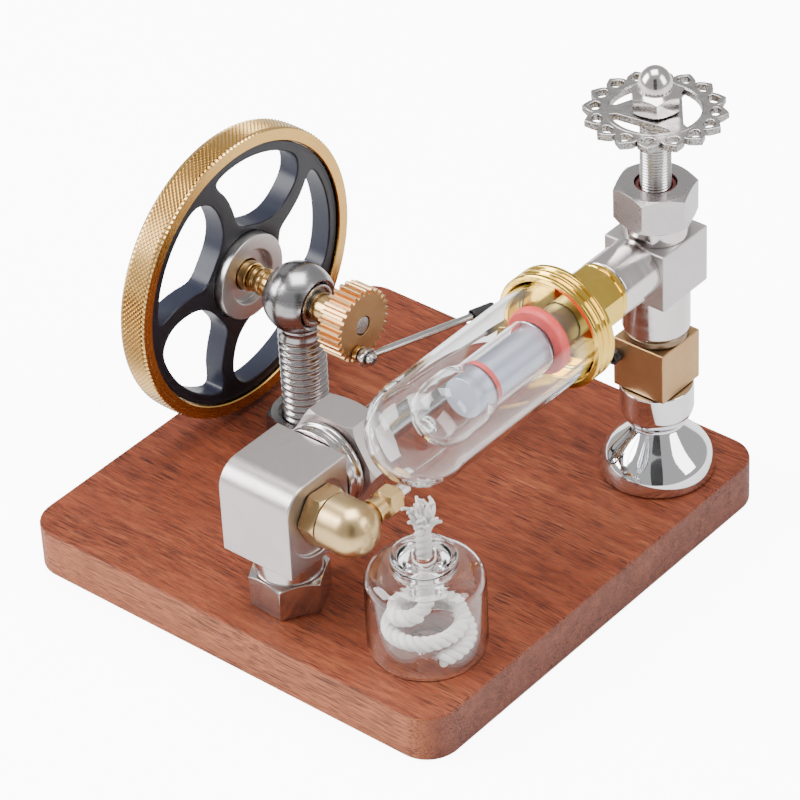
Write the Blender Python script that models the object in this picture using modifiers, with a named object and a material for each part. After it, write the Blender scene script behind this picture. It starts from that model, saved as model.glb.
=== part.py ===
import math

import bmesh
import bpy
from mathutils import Vector

for old in list(bpy.data.objects):
    bpy.data.objects.remove(old, do_unlink=True)

MM = 0.001

# Clearances
GAP = 0.3 * MM              # between two pieces that touch in the real engine
SKIN = 0.05 * MM            # how far one primitive is sunk into another before a union

# Base board
BASE_W = 150 * MM
BASE_D = 152 * MM
BASE_T = 15 * MM
BASE_CORNER = 10 * MM
BASE_EDGE = 0.8 * MM
SCREW_R = 2.0 * MM
SCREW_HEAD_R = 4.0 * MM
SCREW_HEAD_H = 2.6 * MM
SCREW_SINK = BASE_T * 0.42
SCREW_BITE = 4.0 * MM

# Flywheel and crankshaft; the shaft height follows the wheel
WHEEL_R = 45 * MM
WHEEL_LIFT = 1.5 * MM
RING_T = 4.2 * MM
RING_W = 9.0 * MM
SPIDER_T = 7.0 * MM
SPIDER_SINK = 1.0 * MM
HUB_R = 13.2 * MM
HUB_PROUD = 1.8 * MM
HUB_RECESS_R = 8.5 * MM
HUB_RECESS = 2.3 * MM
BUSH_R = 4.5 * MM
BUSH_PROUD = 0.7 * MM
SHAFT_R = 2.5 * MM
SHAFT_Y = 6.5 * MM
SHAFT_Z = BASE_T + WHEEL_LIFT + WHEEL_R
SHAFT_TAIL = 3.0 * MM
SPACER_R = 3.5 * MM
SPACER_RIDGE = 0.7 * MM
WHEEL_SPACER_L = 9.3 * MM
GEAR_SPACER_L = 8.4 * MM

# Bearing column
COLUMN_X = -39 * MM
STUD_R = 7.0 * MM
BALL_R = 10.7 * MM
BALL_FLAT = 7.2 * MM
BEARING_R = 6.5 * MM
BEARING_W = 4.0 * MM
BEARING_RACE = 1.2 * MM
FOOT_NUT_R = 12.0 * MM
FOOT_NUT_H = 6.2 * MM

# Crank gear, pin and rod
TEETH = 28
MODULE = 0.75 * MM
GEAR_W = 7.9 * MM
CRANK_R = 8.1 * MM
CRANK_ANGLE = math.radians(-117.2)      # in the YZ plane, from +Y towards +Z
PIN_R = 1.0 * MM
PIN_HEAD_R = 1.9 * MM
PIN_HEAD_H = 1.9 * MM
WASHER_R = 2.4 * MM
WASHER_T = 1.4 * MM
COLLAR_R = 2.1 * MM
COLLAR_T = 1.2 * MM
EYE_R = 2.7 * MM
EYE_T = 1.2 * MM
ROD_R = 1.1 * MM
ROD_REACH = 41.2 * MM                   # along Y, from the pin to the rod end
ROD_SIDE = 8.9 * MM                     # along X, over the same length
ROD_END_R = 2.0 * MM
ROD_END_L = 8.0 * MM

# Power cylinder
BLOCK_W = 24.7 * MM
BLOCK_D = 25.2 * MM
BLOCK_H = 28.0 * MM
BLOCK_X = 8.1 * MM
BLOCK_Y = -55.6 * MM
BLOCK_ROUND = 7.5 * MM
BLOCK_EDGE = 0.6 * MM
FOOT_HEX_R = 11.8 * MM
FOOT_HEX_H = 10.5 * MM
FOOT_NECK_R = 9.5 * MM
FOOT_NECK_H = 8.4 * MM
BORE_R = 4.5 * MM
BARREL_R = 6.0 * MM
BARREL_END = 12 * MM
BARREL_Z = BASE_T + 35.3 * MM
NECK_R = 13.0 * MM
NECK_L = 6.6 * MM
NUT_R = 15.5 * MM
NUT_L = 11.0 * MM
PISTON_L = 12.0 * MM
PISTON_Y = -14.0 * MM
TAIL_R = 1.2 * MM
CROSSHEAD_L = 6.0 * MM

# Elbow, nozzle and pipe
ELBOW_Z = BASE_T + 34.2 * MM
ELBOW_SHIFT = 0.5 * MM      # the elbow sits this far from the block's middle, towards the barrel
SEAT_R = 11.4 * MM
SEAT_DEEP = 1.0 * MM
FLANGE_R = 8.8 * MM
FLANGE_T = 5.0 * MM
DOME_R = 8.0 * MM
DOME_NECK = 6.7 * MM
NOZZLE_R = 4.6 * MM
NOZZLE_L = 11.2 * MM
PIPE_R = 0.9 * MM
PIPE_TIP_L = 3.2 * MM
PIPE_BEND_L = 16.0 * MM

# Valve column
VALVE_X = 54.1 * MM
VALVE_Y = 52.5 * MM
FLARE_R = 16.7 * MM
FLARE_H = 16.2 * MM
CUP_R = 10.7 * MM
CUP_H = 13.2 * MM
BRASS_W = 17.5 * MM
BRASS_H = 16.4 * MM
SEAL_R = 9.0 * MM
SEAL_H = 2.2 * MM
BOSS_R = 9.65 * MM
BOSS_H = 13.9 * MM
BODY_W = 20.5 * MM
BODY_H = 18.2 * MM
PORT_R = 9.0 * MM
PORT_L = 14.5 * MM
TOP_R = 9.5 * MM
TOP_H = 4.7 * MM
GLAND_R = 12.0 * MM
GLAND_H = 10.8 * MM
PACK_R = 5.7 * MM
STEM_R = 4.4 * MM
STEM_SHOW = 21.2 * MM
STUD_TOP_R = 2.5 * MM
HAND_R = 20.0 * MM
HAND_T = 2.4 * MM
HAND_RING_R = 12.5 * MM
PETALS = 16
ACORN_R = 6.7 * MM
ACORN_HEX = 5.2 * MM
ACORN_DOME_R = 5.1 * MM

# Hot end
TUBE_R = 15.0 * MM
TUBE_WALL = 1.4 * MM
TUBE_L = 74.5 * MM          # tip to open end
TUBE_SEAT = 5.0 * MM
COLLAR_RING_R = 17.4 * MM
COLLAR_RING_L = 7.0 * MM
NECK_HEX_R = 9.5 * MM
NECK_TUBE_L = 16.2 * MM
GUIDE_R = 6.0 * MM
GUIDE_L = 46.0 * MM
DISPLACER_R = 9.5 * MM
DISPLACER_L = 46.0 * MM
DISPLACER_WALL = 0.75 * MM
SLIDE_RING_T = 0.45 * MM
BUFFER_R = 10.0 * MM
BUFFER_T = 3.6 * MM

# Spirit lamp
LAMP_X = 53.1 * MM
LAMP_Y = -50.6 * MM
LAMP_R = 16.7 * MM
LAMP_H = 28.6 * MM
LAMP_NECK_R = 9.2 * MM
LAMP_NECK_H = 2.0 * MM
LAMP_WALL = 1.3 * MM
LAMP_ROUND = 5.0 * MM
PUNT_R = 6.4 * MM
PUNT_H = 2.2 * MM
WICK_R = 2.3 * MM
WICK_SHOW = 17.0 * MM
WICK_TURNS = 1.75
WICK_TAPER = 3.0 * MM          # how much smaller the coil is at its top than at its foot
WICK_CLEAR = 0.3 * MM          # between one turn and the next
BURNER_FLANGE = 2.0 * MM
BURNER_DEEP = 12.0 * MM

TURNS = {
    "X": (0, math.pi / 2, 0),
    "Y": (-math.pi / 2, 0, 0),
    "Z": (0, 0, 0),
}

engine = bpy.data.collections.new("hot_air_engine")
cutters = bpy.data.collections.new("cutters")
bpy.context.scene.collection.children.link(engine)
bpy.context.scene.collection.children.link(cutters)


def material(name, colour, roughness, metallic):
    made = bpy.data.materials.new(name)
    made.use_nodes = True
    shader = made.node_tree.nodes["Principled BSDF"]
    shader.inputs["Base Color"].default_value = (*colour, 1)
    shader.inputs["Roughness"].default_value = roughness
    shader.inputs["Metallic"].default_value = metallic
    return made


WOOD = material("wood", (0.42, 0.13, 0.07), 0.35, 0)
NICKEL = material("nickel", (0.66, 0.63, 0.62), 0.3, 1)
STEEL = material("steel", (0.6, 0.6, 0.6), 0.25, 1)
CHROME = material("chrome", (0.75, 0.75, 0.77), 0.08, 1)
BRASS = material("brass", (0.78, 0.6, 0.3), 0.3, 1)
GOLD = material("gold", (0.9, 0.7, 0.3), 0.12, 1)
BLACK = material("black_anodised", (0.02, 0.025, 0.04), 0.4, 0.6)
PLASTIC = material("black_plastic", (0.02, 0.02, 0.02), 0.5, 0)
ALU = material("aluminium", (0.75, 0.77, 0.8), 0.35, 1)
RED = material("red_silicone", (0.7, 0.12, 0.1), 0.5, 0)
GLASS = material("glass", (0.95, 0.97, 0.97), 0.02, 0)
WICK = material("wick_cotton", (0.9, 0.89, 0.86), 0.9, 0)
SILVER = material("antique_silver", (0.55, 0.53, 0.5), 0.4, 1)


def add(name, mesh, mat, place, turn, group):
    mesh.materials.append(mat)
    obj = bpy.data.objects.new(name, mesh)
    obj.location = place
    obj.rotation_euler = turn
    group.objects.link(obj)
    if group is cutters:
        obj.hide_render = True
        obj.display_type = "WIRE"
    return obj


def lathe(name, mat, points, place, axis="Z", steps=24, ring=False, group=engine):
    """A profile of (radius, height) down its outer side, turned about the axis through place."""
    mesh = bpy.data.meshes.new(name)
    verts = [(r, 0, h) for r, h in points]
    edges = [(i, i + 1) for i in range(len(verts) - 1)]
    if ring:
        edges.append((len(verts) - 1, 0))
    mesh.from_pydata(verts, edges, [])
    turn = TURNS[axis] if isinstance(axis, str) else axis
    obj = add(name, mesh, mat, place, turn, group)
    screw = obj.modifiers.new("turn", "SCREW")
    screw.axis = "Z"
    screw.steps = steps
    screw.render_steps = steps
    screw.use_merge_vertices = True
    screw.merge_threshold = 0.000005
    screw.use_smooth_shade = False
    return obj


def prism(name, mat, outlines, low, high, place, axis="Z", group=engine):
    """Straight walls on each outline of (x, y), from low to high along the axis."""
    work = bmesh.new()
    for outline in outlines:
        bottom = [work.verts.new((x, y, low)) for x, y in outline]
        top = [work.verts.new((x, y, high)) for x, y in outline]
        count = len(outline)
        for i in range(count):
            j = (i + 1) % count
            work.faces.new((bottom[i], bottom[j], top[j], top[i]))
        work.faces.new(list(reversed(bottom)))
        work.faces.new(top)
    mesh = bpy.data.meshes.new(name)
    work.to_mesh(mesh)
    work.free()
    turn = TURNS[axis] if isinstance(axis, str) else axis
    return add(name, mesh, mat, place, turn, group)


def box(name, mat, low, high, place, group=engine):
    outline = [(low[0], low[1]), (high[0], low[1]), (high[0], high[1]), (low[0], high[1])]
    return prism(name, mat, [outline], low[2], high[2], place, "Z", group)


def sweep(name, mat, path, radius, sides, group=engine):
    """A round bar along a path of points."""
    work = bmesh.new()
    rings = []
    across = None
    for i, point in enumerate(path):
        ahead = path[min(i + 1, len(path) - 1)] - path[max(i - 1, 0)]
        ahead.normalize()
        if across is None:
            across = ahead.orthogonal().normalized()
        across = (across - ahead * across.dot(ahead)).normalized()
        side = ahead.cross(across)
        ring = []
        for k in range(sides):
            a = 2 * math.pi * k / sides
            ring.append(work.verts.new(point + radius * (math.cos(a) * across + math.sin(a) * side)))
        rings.append(ring)
    for one, two in zip(rings, rings[1:]):
        for k in range(sides):
            n = (k + 1) % sides
            work.faces.new((one[k], one[n], two[n], two[k]))
    work.faces.new(list(reversed(rings[0])))
    work.faces.new(rings[-1])
    mesh = bpy.data.meshes.new(name)
    work.to_mesh(mesh)
    work.free()
    return add(name, mesh, mat, (0, 0, 0), (0, 0, 0), group)


def join(obj, other, how):
    step = obj.modifiers.new(how.lower(), "BOOLEAN")
    step.operation = how
    step.solver = "EXACT"
    step.object = other
    return obj


def soften(obj, width, angle=50):
    edge = obj.modifiers.new("edge", "BEVEL")
    edge.width = width
    edge.segments = 1
    edge.limit_method = "ANGLE"
    edge.angle_limit = math.radians(angle)
    return obj


def polygon(sides, radius, start):
    angles = [math.radians(start) + 2 * math.pi * i / sides for i in range(sides)]
    return [(radius * math.cos(a), radius * math.sin(a)) for a in angles]


def arc(cx, cy, radius, start, end, count):
    found = []
    for i in range(count + 1):
        a = math.radians(start + (end - start) * i / count)
        found.append((cx + radius * math.cos(a), cy + radius * math.sin(a)))
    return found


def hex_piece(name, mat, sides, radius, start, points, place, axis, steps=24):
    """A polygon bar trimmed by a turned profile, which also gives its chamfers, necks and bore."""
    high = max(h for _, h in points) + SKIN * 4
    low = min(h for _, h in points) - SKIN * 4
    bar = prism(name, mat, [polygon(sides, radius, start)], low, high, place, axis)
    trim = lathe(name + "_trim", mat, points, place, axis, steps, True, cutters)
    return join(bar, trim, "INTERSECT")


# Base board, with counterbored holes from below
half_w = BASE_W / 2
half_d = BASE_D / 2
cx = half_w - BASE_CORNER
cy = half_d - BASE_CORNER
outline = arc(cx, cy, BASE_CORNER, 0, 90, 6) + arc(-cx, cy, BASE_CORNER, 90, 180, 6)
outline += arc(-cx, -cy, BASE_CORNER, 180, 270, 6) + arc(cx, -cy, BASE_CORNER, 270, 360, 6)
board = prism("base_board", WOOD, [outline], 0, BASE_T, (0, 0, 0))
soften(board, BASE_EDGE)

feet = {
    "column": (COLUMN_X, SHAFT_Y),
    "block": (BLOCK_X, BLOCK_Y),
    "valve": (VALVE_X, VALVE_Y),
}
for label, (x, y) in feet.items():
    hole_r = SCREW_R + GAP
    hole = [(0, BASE_T + GAP), (hole_r, BASE_T + GAP), (hole_r, SCREW_SINK),
            (SCREW_HEAD_R + GAP * 2, SCREW_SINK), (SCREW_HEAD_R + GAP * 2, -GAP), (0, -GAP)]
    cut = lathe("screw_hole_" + label, WOOD, hole, (x, y, 0), steps=16, group=cutters)
    join(board, cut, "DIFFERENCE")
    top = SCREW_SINK - GAP
    tip = BASE_T + SCREW_BITE
    screw = [(0, tip), (SCREW_R, tip), (SCREW_R, top), (SCREW_HEAD_R, top),
             (SCREW_HEAD_R, top - SCREW_HEAD_H), (0, top - SCREW_HEAD_H)]
    lathe("base_screw_" + label, STEEL, screw, (x, y, 0), steps=16)

floor = BASE_T + GAP                       # underside of everything that stands on the board
socket_r = SCREW_R + GAP                   # blind hole over a base screw
socket_top = BASE_T + SCREW_BITE + GAP

# Bearing column
nut = [(FOOT_NUT_R - 1.6 * MM, floor + FOOT_NUT_H), (FOOT_NUT_R * 1.02, floor + FOOT_NUT_H * 0.8),
       (FOOT_NUT_R * 1.02, floor), (STUD_R + GAP, floor), (STUD_R + GAP, floor + FOOT_NUT_H)]
hex_piece("column_foot_nut", NICKEL, 6, FOOT_NUT_R, 41, nut, (COLUMN_X, SHAFT_Y, 0), "Z", 32)
ball = []
lowest = math.degrees(math.asin(STUD_R / BALL_R))
for i in range(10):
    a = math.radians(i * (180 - lowest) / 9)
    ball.append((BALL_R * math.sin(a), BALL_R * math.cos(a) + SHAFT_Z))
ball[0] = (0, SHAFT_Z + BALL_R)
ball += [(STUD_R, floor), (socket_r, floor), (socket_r, socket_top), (0, socket_top)]
column = lathe("bearing_column", NICKEL, ball, (COLUMN_X, SHAFT_Y, 0), steps=24)
seat = BEARING_R + GAP
shoulder = BALL_FLAT - BEARING_W
clear = BALL_R * 1.2
bore = [(0, clear), (clear, clear), (clear, BALL_FLAT), (seat, BALL_FLAT), (seat, shoulder),
        (SHAFT_R + GAP, shoulder), (SHAFT_R + GAP, -shoulder), (seat, -shoulder),
        (seat, -BALL_FLAT), (clear, -BALL_FLAT), (clear, -clear), (0, -clear)]
shaft_at = (COLUMN_X, SHAFT_Y, SHAFT_Z)
join(column, lathe("bearing_bore", STEEL, bore, shaft_at, "X", 24, False, cutters), "DIFFERENCE")


def ring_piece(name, mat, outer, inner, low, high, place, axis, steps=24, edge=0):
    points = [(outer - edge, high), (outer, high - edge), (outer, low + edge), (outer - edge, low)]
    if not edge:
        points = [(outer, high), (outer, low)]
    points += [(inner, low), (inner, high)]
    return lathe(name, mat, points, place, axis, steps, True)


for label, side in (("wheel", -1), ("gear", 1)):
    span = sorted((side * (shoulder + GAP), side * BALL_FLAT))
    ring_piece("bearing_outer_" + label, STEEL, BEARING_R, BEARING_R - BEARING_RACE, span[0], span[1],
               shaft_at, "X")
    ring_piece("bearing_inner_" + label, STEEL, SHAFT_R + GAP + BEARING_RACE, SHAFT_R + GAP,
               span[0], span[1], shaft_at, "X", 16)

# Crankshaft stack, as distances along X from the ball's centre
spacer_in = -BALL_FLAT - GAP
bush_front = spacer_in - WHEEL_SPACER_L
hub_front = bush_front - BUSH_PROUD
ring_front = hub_front - HUB_PROUD
ring_back = ring_front - RING_W
spider_front = ring_front - SPIDER_SINK
spider_back = spider_front - SPIDER_T
gear_back = BALL_FLAT + GAP + GEAR_SPACER_L + GAP
gear_front = gear_back + GEAR_W
shaft_end = gear_front - GAP

ring_piece("flywheel_rim", BRASS, WHEEL_R, WHEEL_R - RING_T, ring_back, ring_front, shaft_at, "X", 64,
           0.5 * MM)
band_out = WHEEL_R - RING_T - GAP
hub_hole = HUB_R + GAP
spider = ring_piece("flywheel_spider", BLACK, band_out, hub_hole, spider_back, spider_front,
                    shaft_at, "X", 64)
# One opening in the spider, as (part of the band's radius, degrees from +Y towards +Z)
opening = [(0.90, 104.5), (0.925, 100), (0.925, 90), (0.925, 80), (0.925, 70), (0.925, 60),
           (0.925, 51), (0.89, 45), (0.80, 40), (0.69, 38), (0.57, 39), (0.48, 43), (0.405, 53),
           (0.38, 65), (0.38, 78), (0.40, 90), (0.45, 96), (0.58, 97.5), (0.74, 100.5), (0.85, 104.5)]
holes = []
for k in range(5):
    spun = []
    for part, degrees in opening:
        a = math.radians(degrees + 72 * k)
        # The turn about Y sends local +X to world -Z, so z comes first and is negated.
        spun.append((-band_out * part * math.sin(a), band_out * part * math.cos(a)))
    holes.append(spun)
flipped = [list(reversed(one)) for one in holes]
area = sum(a[0] * b[1] - b[0] * a[1] for a, b in zip(holes[0], holes[0][1:] + holes[0][:1]))
openings = prism("spider_openings", BLACK, holes if area > 0 else flipped,
                 spider_back - 1 * MM, spider_front + 1 * MM, shaft_at, "X", cutters)
join(spider, openings, "DIFFERENCE")

bush_hole = BUSH_R + GAP
recess = hub_front - HUB_RECESS
hub = [(HUB_R, hub_front), (HUB_R, spider_back), (bush_hole, spider_back), (bush_hole, recess),
       (HUB_RECESS_R, recess), (HUB_RECESS_R, hub_front)]
lathe("flywheel_hub", ALU, hub, shaft_at, "X", 32, True)
shaft_hole = SHAFT_R + GAP
ring_piece("hub_bush", BRASS, BUSH_R, shaft_hole, spider_back, bush_front - GAP, shaft_at, "X", 16)
ridge = SPACER_R + SPACER_RIDGE
step = WHEEL_SPACER_L / 6
spacer = [(ridge, spacer_in), (ridge, spacer_in - step), (SPACER_R, spacer_in - step),
          (SPACER_R, spacer_in - 3 * step), (ridge, spacer_in - 3 * step),
          (ridge, spacer_in - 4 * step), (SPACER_R, spacer_in - 4 * step), (SPACER_R, bush_front),
          (shaft_hole, bush_front), (shaft_hole, spacer_in)]
lathe("shaft_spacer", BRASS, spacer, shaft_at, "X", 20, True)
ring_piece("gear_spacer", BRASS, BUSH_R, shaft_hole, BALL_FLAT + GAP, gear_back - GAP, shaft_at, "X", 20,
           0.4 * MM)
cap = SHAFT_R + GAP * 0.6
shaft = [(0, shaft_end), (cap, shaft_end), (cap, gear_back + 1 * MM), (SHAFT_R, gear_back + 1 * MM),
         (SHAFT_R, spider_back + SHAFT_TAIL - 2 * MM), (0, spider_back + SHAFT_TAIL - 2 * MM)]
lathe("crankshaft", STEEL, shaft, shaft_at, "X", 16)

# Crank gear: flat-topped teeth, a bore and the hole for the crank pin
pitch_r = TEETH * MODULE / 2
tip_r = pitch_r + MODULE * 0.93
root_r = pitch_r - MODULE * 1.2
teeth = []
for i in range(TEETH):
    centre = 2 * math.pi * i / TEETH
    quarter = 2 * math.pi / TEETH / 4
    for radius, offset in ((root_r, -1.5), (tip_r, -0.55), (tip_r, 0.55), (root_r, 1.5)):
        a = centre + quarter * offset
        teeth.append((radius * math.cos(a), radius * math.sin(a)))
gear = prism("crank_gear", BRASS, [teeth], gear_back, gear_front, shaft_at, "X")
gear_bore = [(0, gear_front + GAP), (cap + GAP, gear_front + GAP), (cap + GAP, gear_back - GAP),
             (0, gear_back - GAP)]
join(gear, lathe("gear_bore", STEEL, gear_bore, shaft_at, "X", 16, False, cutters), "DIFFERENCE")
pin_y = SHAFT_Y + CRANK_R * math.cos(CRANK_ANGLE)
pin_z = SHAFT_Z + CRANK_R * math.sin(CRANK_ANGLE)
pin_at = (COLUMN_X, pin_y, pin_z)
pin_deep = gear_front - 2 * MM
pin_hole_r = PIN_R + GAP
pin_hole = [(0, gear_front + GAP), (pin_hole_r, gear_front + GAP), (pin_hole_r, pin_deep - GAP),
            (0, pin_deep - GAP)]
join(gear, lathe("pin_hole", STEEL, pin_hole, pin_at, "X", 12, False, cutters), "DIFFERENCE")

washer_low = gear_front + GAP
washer_high = washer_low + WASHER_T
collar_high = washer_high + GAP + COLLAR_T
eye_low = collar_high + GAP
eye_high = eye_low + EYE_T
head_low = eye_high + GAP
head_high = head_low + PIN_HEAD_H
ring_piece("pin_washer", BRASS, WASHER_R, pin_hole_r, washer_low, washer_high, pin_at, "X", 16)
ring_piece("pin_collar", STEEL, COLLAR_R, pin_hole_r, washer_high + GAP, collar_high, pin_at, "X", 16)
pin = [(0, head_high), (PIN_HEAD_R - 0.4 * MM, head_high), (PIN_HEAD_R, head_high - 0.4 * MM),
       (PIN_HEAD_R, head_low), (PIN_R, head_low), (PIN_R, pin_deep), (0, pin_deep)]
lathe("crank_pin", STEEL, pin, pin_at, "X", 16)

# Connecting rod: an eye and a bar, with a sleeve on its far end
rod_from = Vector((COLUMN_X + (eye_low + eye_high) / 2, pin_y, pin_z))
rod_to = Vector((rod_from.x + ROD_SIDE, pin_y + ROD_REACH, BARREL_Z))
along = (rod_to - rod_from).normalized()
flat = Vector((0, along.y, along.z)).normalized()
# The bar starts outside the collar and the screw head.
bar_start = rod_from + flat * (max(COLLAR_R, PIN_HEAD_R, WASHER_R) + GAP) + Vector((0.2 * MM, 0, 0))
bar_end = rod_to
run = (bar_end - bar_start).normalized()
eye_out = max(EYE_R, COLLAR_R + ROD_R)
rod = ring_piece("connecting_rod", STEEL, eye_out, pin_hole_r, eye_low, eye_high, pin_at, "X", 20)
tilt = run.to_track_quat("Z", "Y").to_euler()
bar_l = (bar_end - bar_start).length
bar = [(0, bar_l), (ROD_R, bar_l), (ROD_R, 0), (0, 0)]
bar_at = tuple(bar_start)
join(rod, lathe("rod_bar", STEEL, bar, bar_at, tilt, 12, False, cutters), "UNION")
end_low = bar_l - ROD_END_L / 2
end_high = bar_l + ROD_END_L / 2
sleeve_r = ROD_R + GAP
sleeve = [(0, end_high), (ROD_END_R - 0.5 * MM, end_high), (ROD_END_R, end_high - 0.5 * MM),
          (ROD_END_R, end_low), (sleeve_r, end_low), (sleeve_r, bar_l + GAP), (0, bar_l + GAP)]
lathe("rod_end", PLASTIC, sleeve, bar_at, tilt, 12)

# Power cylinder: foot, block, neck, nut and barrel
block_low = floor + FOOT_HEX_H + FOOT_NECK_H - GAP
block_high = block_low + BLOCK_H
foot_top = block_low - GAP
hex_top = floor + FOOT_HEX_H
foot = [(0, foot_top), (FOOT_NECK_R, foot_top), (FOOT_NECK_R, hex_top), (FOOT_NECK_R + 0.6 * MM, hex_top),
        (FOOT_HEX_R * 1.06, hex_top - 1.4 * MM), (FOOT_HEX_R * 1.06, floor), (socket_r, floor),
        (socket_r, socket_top), (0, socket_top)]
bar_foot = prism("block_foot", BRASS, [polygon(6, FOOT_HEX_R, -3.4)], floor - SKIN, foot_top + SKIN,
                 (BLOCK_X, BLOCK_Y, 0))
join(bar_foot, lathe("block_foot_trim", BRASS, foot, (BLOCK_X, BLOCK_Y, 0), steps=24, group=cutters),
     "INTERSECT")
half = BLOCK_D / 2
# The turn about Y sends local +X to world -Z.
side = [(-block_low, half), (-block_high, half)]
side += [(-(block_high - BLOCK_ROUND) - BLOCK_ROUND * math.sin(a), -half + BLOCK_ROUND * (1 - math.cos(a)))
         for a in [math.radians(90 - 15 * i) for i in range(7)]]
side += [(-block_low, -half)]
block_at = (BLOCK_X, BLOCK_Y, 0)
block = prism("cylinder_block", NICKEL, [side], -BLOCK_W / 2, BLOCK_W / 2, block_at, "X")
soften(block, BLOCK_EDGE, 35)
block_face = BLOCK_W / 2
seat_cut = [(0, block_face + GAP), (SEAT_R, block_face + GAP), (SEAT_R, block_face - SEAT_DEEP),
            (0, block_face - SEAT_DEEP)]
seat_at = (BLOCK_X, BLOCK_Y, block_low + BLOCK_H / 2)
elbow_y = BLOCK_Y + ELBOW_SHIFT
elbow_at = (BLOCK_X, elbow_y, ELBOW_Z)
join(block, lathe("elbow_seat", NICKEL, seat_cut, seat_at, "X", 32, False, cutters), "DIFFERENCE")
barrel_at = (BLOCK_X, 0, BARREL_Z)
block_back = BLOCK_Y + BLOCK_D / 2
neck_low = block_back + GAP
neck_high = neck_low + NECK_L
nut_low = neck_high + GAP
nut_high = nut_low + NUT_L
barrel_hole = BARREL_R + GAP
ring_piece("cylinder_neck", NICKEL, NECK_R, barrel_hole, neck_low, neck_high, barrel_at, "Y", 32, 0.5 * MM)
big = NUT_R * 1.03
nut_trim = [(NUT_R * 0.87, nut_high), (big, nut_high - 1.7 * MM), (big, nut_low), (barrel_hole, nut_low),
            (barrel_hole, nut_high)]
hex_piece("cylinder_nut", NICKEL, 6, NUT_R, 0, nut_trim, barrel_at, "Y", 24)
ring_piece("power_cylinder", STEEL, BARREL_R, BORE_R, neck_low, BARREL_END, barrel_at, "Y", 24, 0.4 * MM)
piston_r = BORE_R - GAP
tail_end = rod_to.y + CROSSHEAD_L / 2 - 1 * MM
piston_top = PISTON_Y + PISTON_L
piston = [(0, tail_end), (TAIL_R, tail_end), (TAIL_R, piston_top), (piston_r, piston_top),
          (piston_r, PISTON_Y), (0, PISTON_Y)]
lathe("power_piston", STEEL, piston, barrel_at, "Y", 20)
# The moulded end leans, so its far corner reaches past its own radius.
end_reach = ROD_END_R + ROD_END_L / 2 * run.x
head_x0 = rod_to.x + end_reach + GAP * 2 - BLOCK_X
head_half = 2.5 * MM
head_back = rod_to.y - CROSSHEAD_L / 2
head_y1 = rod_to.y + CROSSHEAD_L / 2
crosshead = box("piston_crosshead", BRASS, (head_x0, head_back, -head_half),
                (head_half, head_y1, head_half), barrel_at)
tail_hole = TAIL_R + GAP
tail_cut = [(0, tail_end + GAP), (tail_hole, tail_end + GAP), (tail_hole, head_back - GAP),
            (0, head_back - GAP)]
join(crosshead, lathe("crosshead_hole", BRASS, tail_cut, barrel_at, "Y", 12, False, cutters), "DIFFERENCE")

# Elbow, nozzle, pipe and fitting
flange_low = block_face - SEAT_DEEP + GAP
flange_high = flange_low + FLANGE_T
flange = [(0, flange_high), (FLANGE_R * 0.9, flange_high), (FLANGE_R * 1.04, flange_high - 0.8 * MM),
          (FLANGE_R * 1.04, flange_low), (0, flange_low)]
bar_flange = prism("elbow_flange", BRASS, [polygon(6, FLANGE_R, -34)], flange_low - SKIN,
                   flange_high + SKIN, elbow_at, "X")
join(bar_flange, lathe("elbow_flange_trim", BRASS, flange, elbow_at, "X", 24, False, cutters), "INTERSECT")
dome_low = flange_high + GAP
dome_mid = dome_low + DOME_NECK
dome = []
for i in range(7):
    a = math.radians(15 * i)
    dome.append((DOME_R * math.sin(a), dome_mid + DOME_R * math.cos(a)))
dome[0] = (0, dome_mid + DOME_R)
dome += [(DOME_R, dome_low), (0, dome_low)]
elbow = lathe("dome_elbow", BRASS, dome, elbow_at, "X", 24)
pipe_x = BLOCK_X + dome_mid
spigot_r = DOME_R * 0.38
spigot_deep = DOME_R * 0.6
port = [(0, DOME_R + 1 * MM), (spigot_r + GAP, DOME_R + 1 * MM), (spigot_r + GAP, spigot_deep - GAP),
        (0, spigot_deep - GAP)]
nozzle_at = (pipe_x, elbow_y, ELBOW_Z)
join(elbow, lathe("nozzle_port", BRASS, port, nozzle_at, "Y", 16, False, cutters), "DIFFERENCE")
face = DOME_R + GAP
nozzle_end = face + NOZZLE_L
pipe_hole = PIPE_R + GAP
nozzle = [(spigot_r, nozzle_end), (spigot_r, nozzle_end - 2 * MM), (NOZZLE_R * 0.9, nozzle_end - 2 * MM),
          (NOZZLE_R * 1.04, nozzle_end - 2.8 * MM), (NOZZLE_R * 1.04, nozzle_end - 6 * MM),
          (NOZZLE_R * 0.86, nozzle_end - 6.8 * MM), (NOZZLE_R * 0.7, nozzle_end - 7.4 * MM),
          (NOZZLE_R * 0.7, face), (spigot_r, face), (spigot_r, spigot_deep), (pipe_hole, spigot_deep),
          (pipe_hole, nozzle_end)]
hex_piece("nozzle", BRASS, 6, NOZZLE_R, 10, nozzle, nozzle_at, "Y", 16)
tip_low = nozzle_end + GAP
ring_piece("nozzle_tip", ALU, PIPE_R + 1.1 * MM, pipe_hole, tip_low, tip_low + PIPE_TIP_L, nozzle_at,
           "Y", 16)
cup_low = floor + FLARE_H + GAP
brass_low = cup_low + CUP_H + GAP
brass_high = brass_low + BRASS_H
fit_x = VALVE_X - BRASS_W * 0.39
fit_z = brass_low + BRASS_H * 0.68
fit_face = VALVE_Y - BRASS_W / 2 - GAP
fit_l = 3.0 * MM
fitting_at = (fit_x, 0, fit_z)
ring_piece("tube_fitting", PLASTIC, PIPE_R + 0.9 * MM, pipe_hole, fit_face - fit_l, fit_face,
           fitting_at, "Y", 16, 0.2 * MM)
start = Vector((pipe_x, elbow_y + spigot_deep + 3 * MM, ELBOW_Z))
arrive = Vector((fit_x, fit_face - fit_l - 0.5 * MM, fit_z))
bend = Vector((pipe_x, arrive.y - PIPE_BEND_L, ELBOW_Z))
finish = Vector((fit_x, fit_face - GAP, fit_z))
path = [start, start.lerp(bend, 0.5)]
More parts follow.
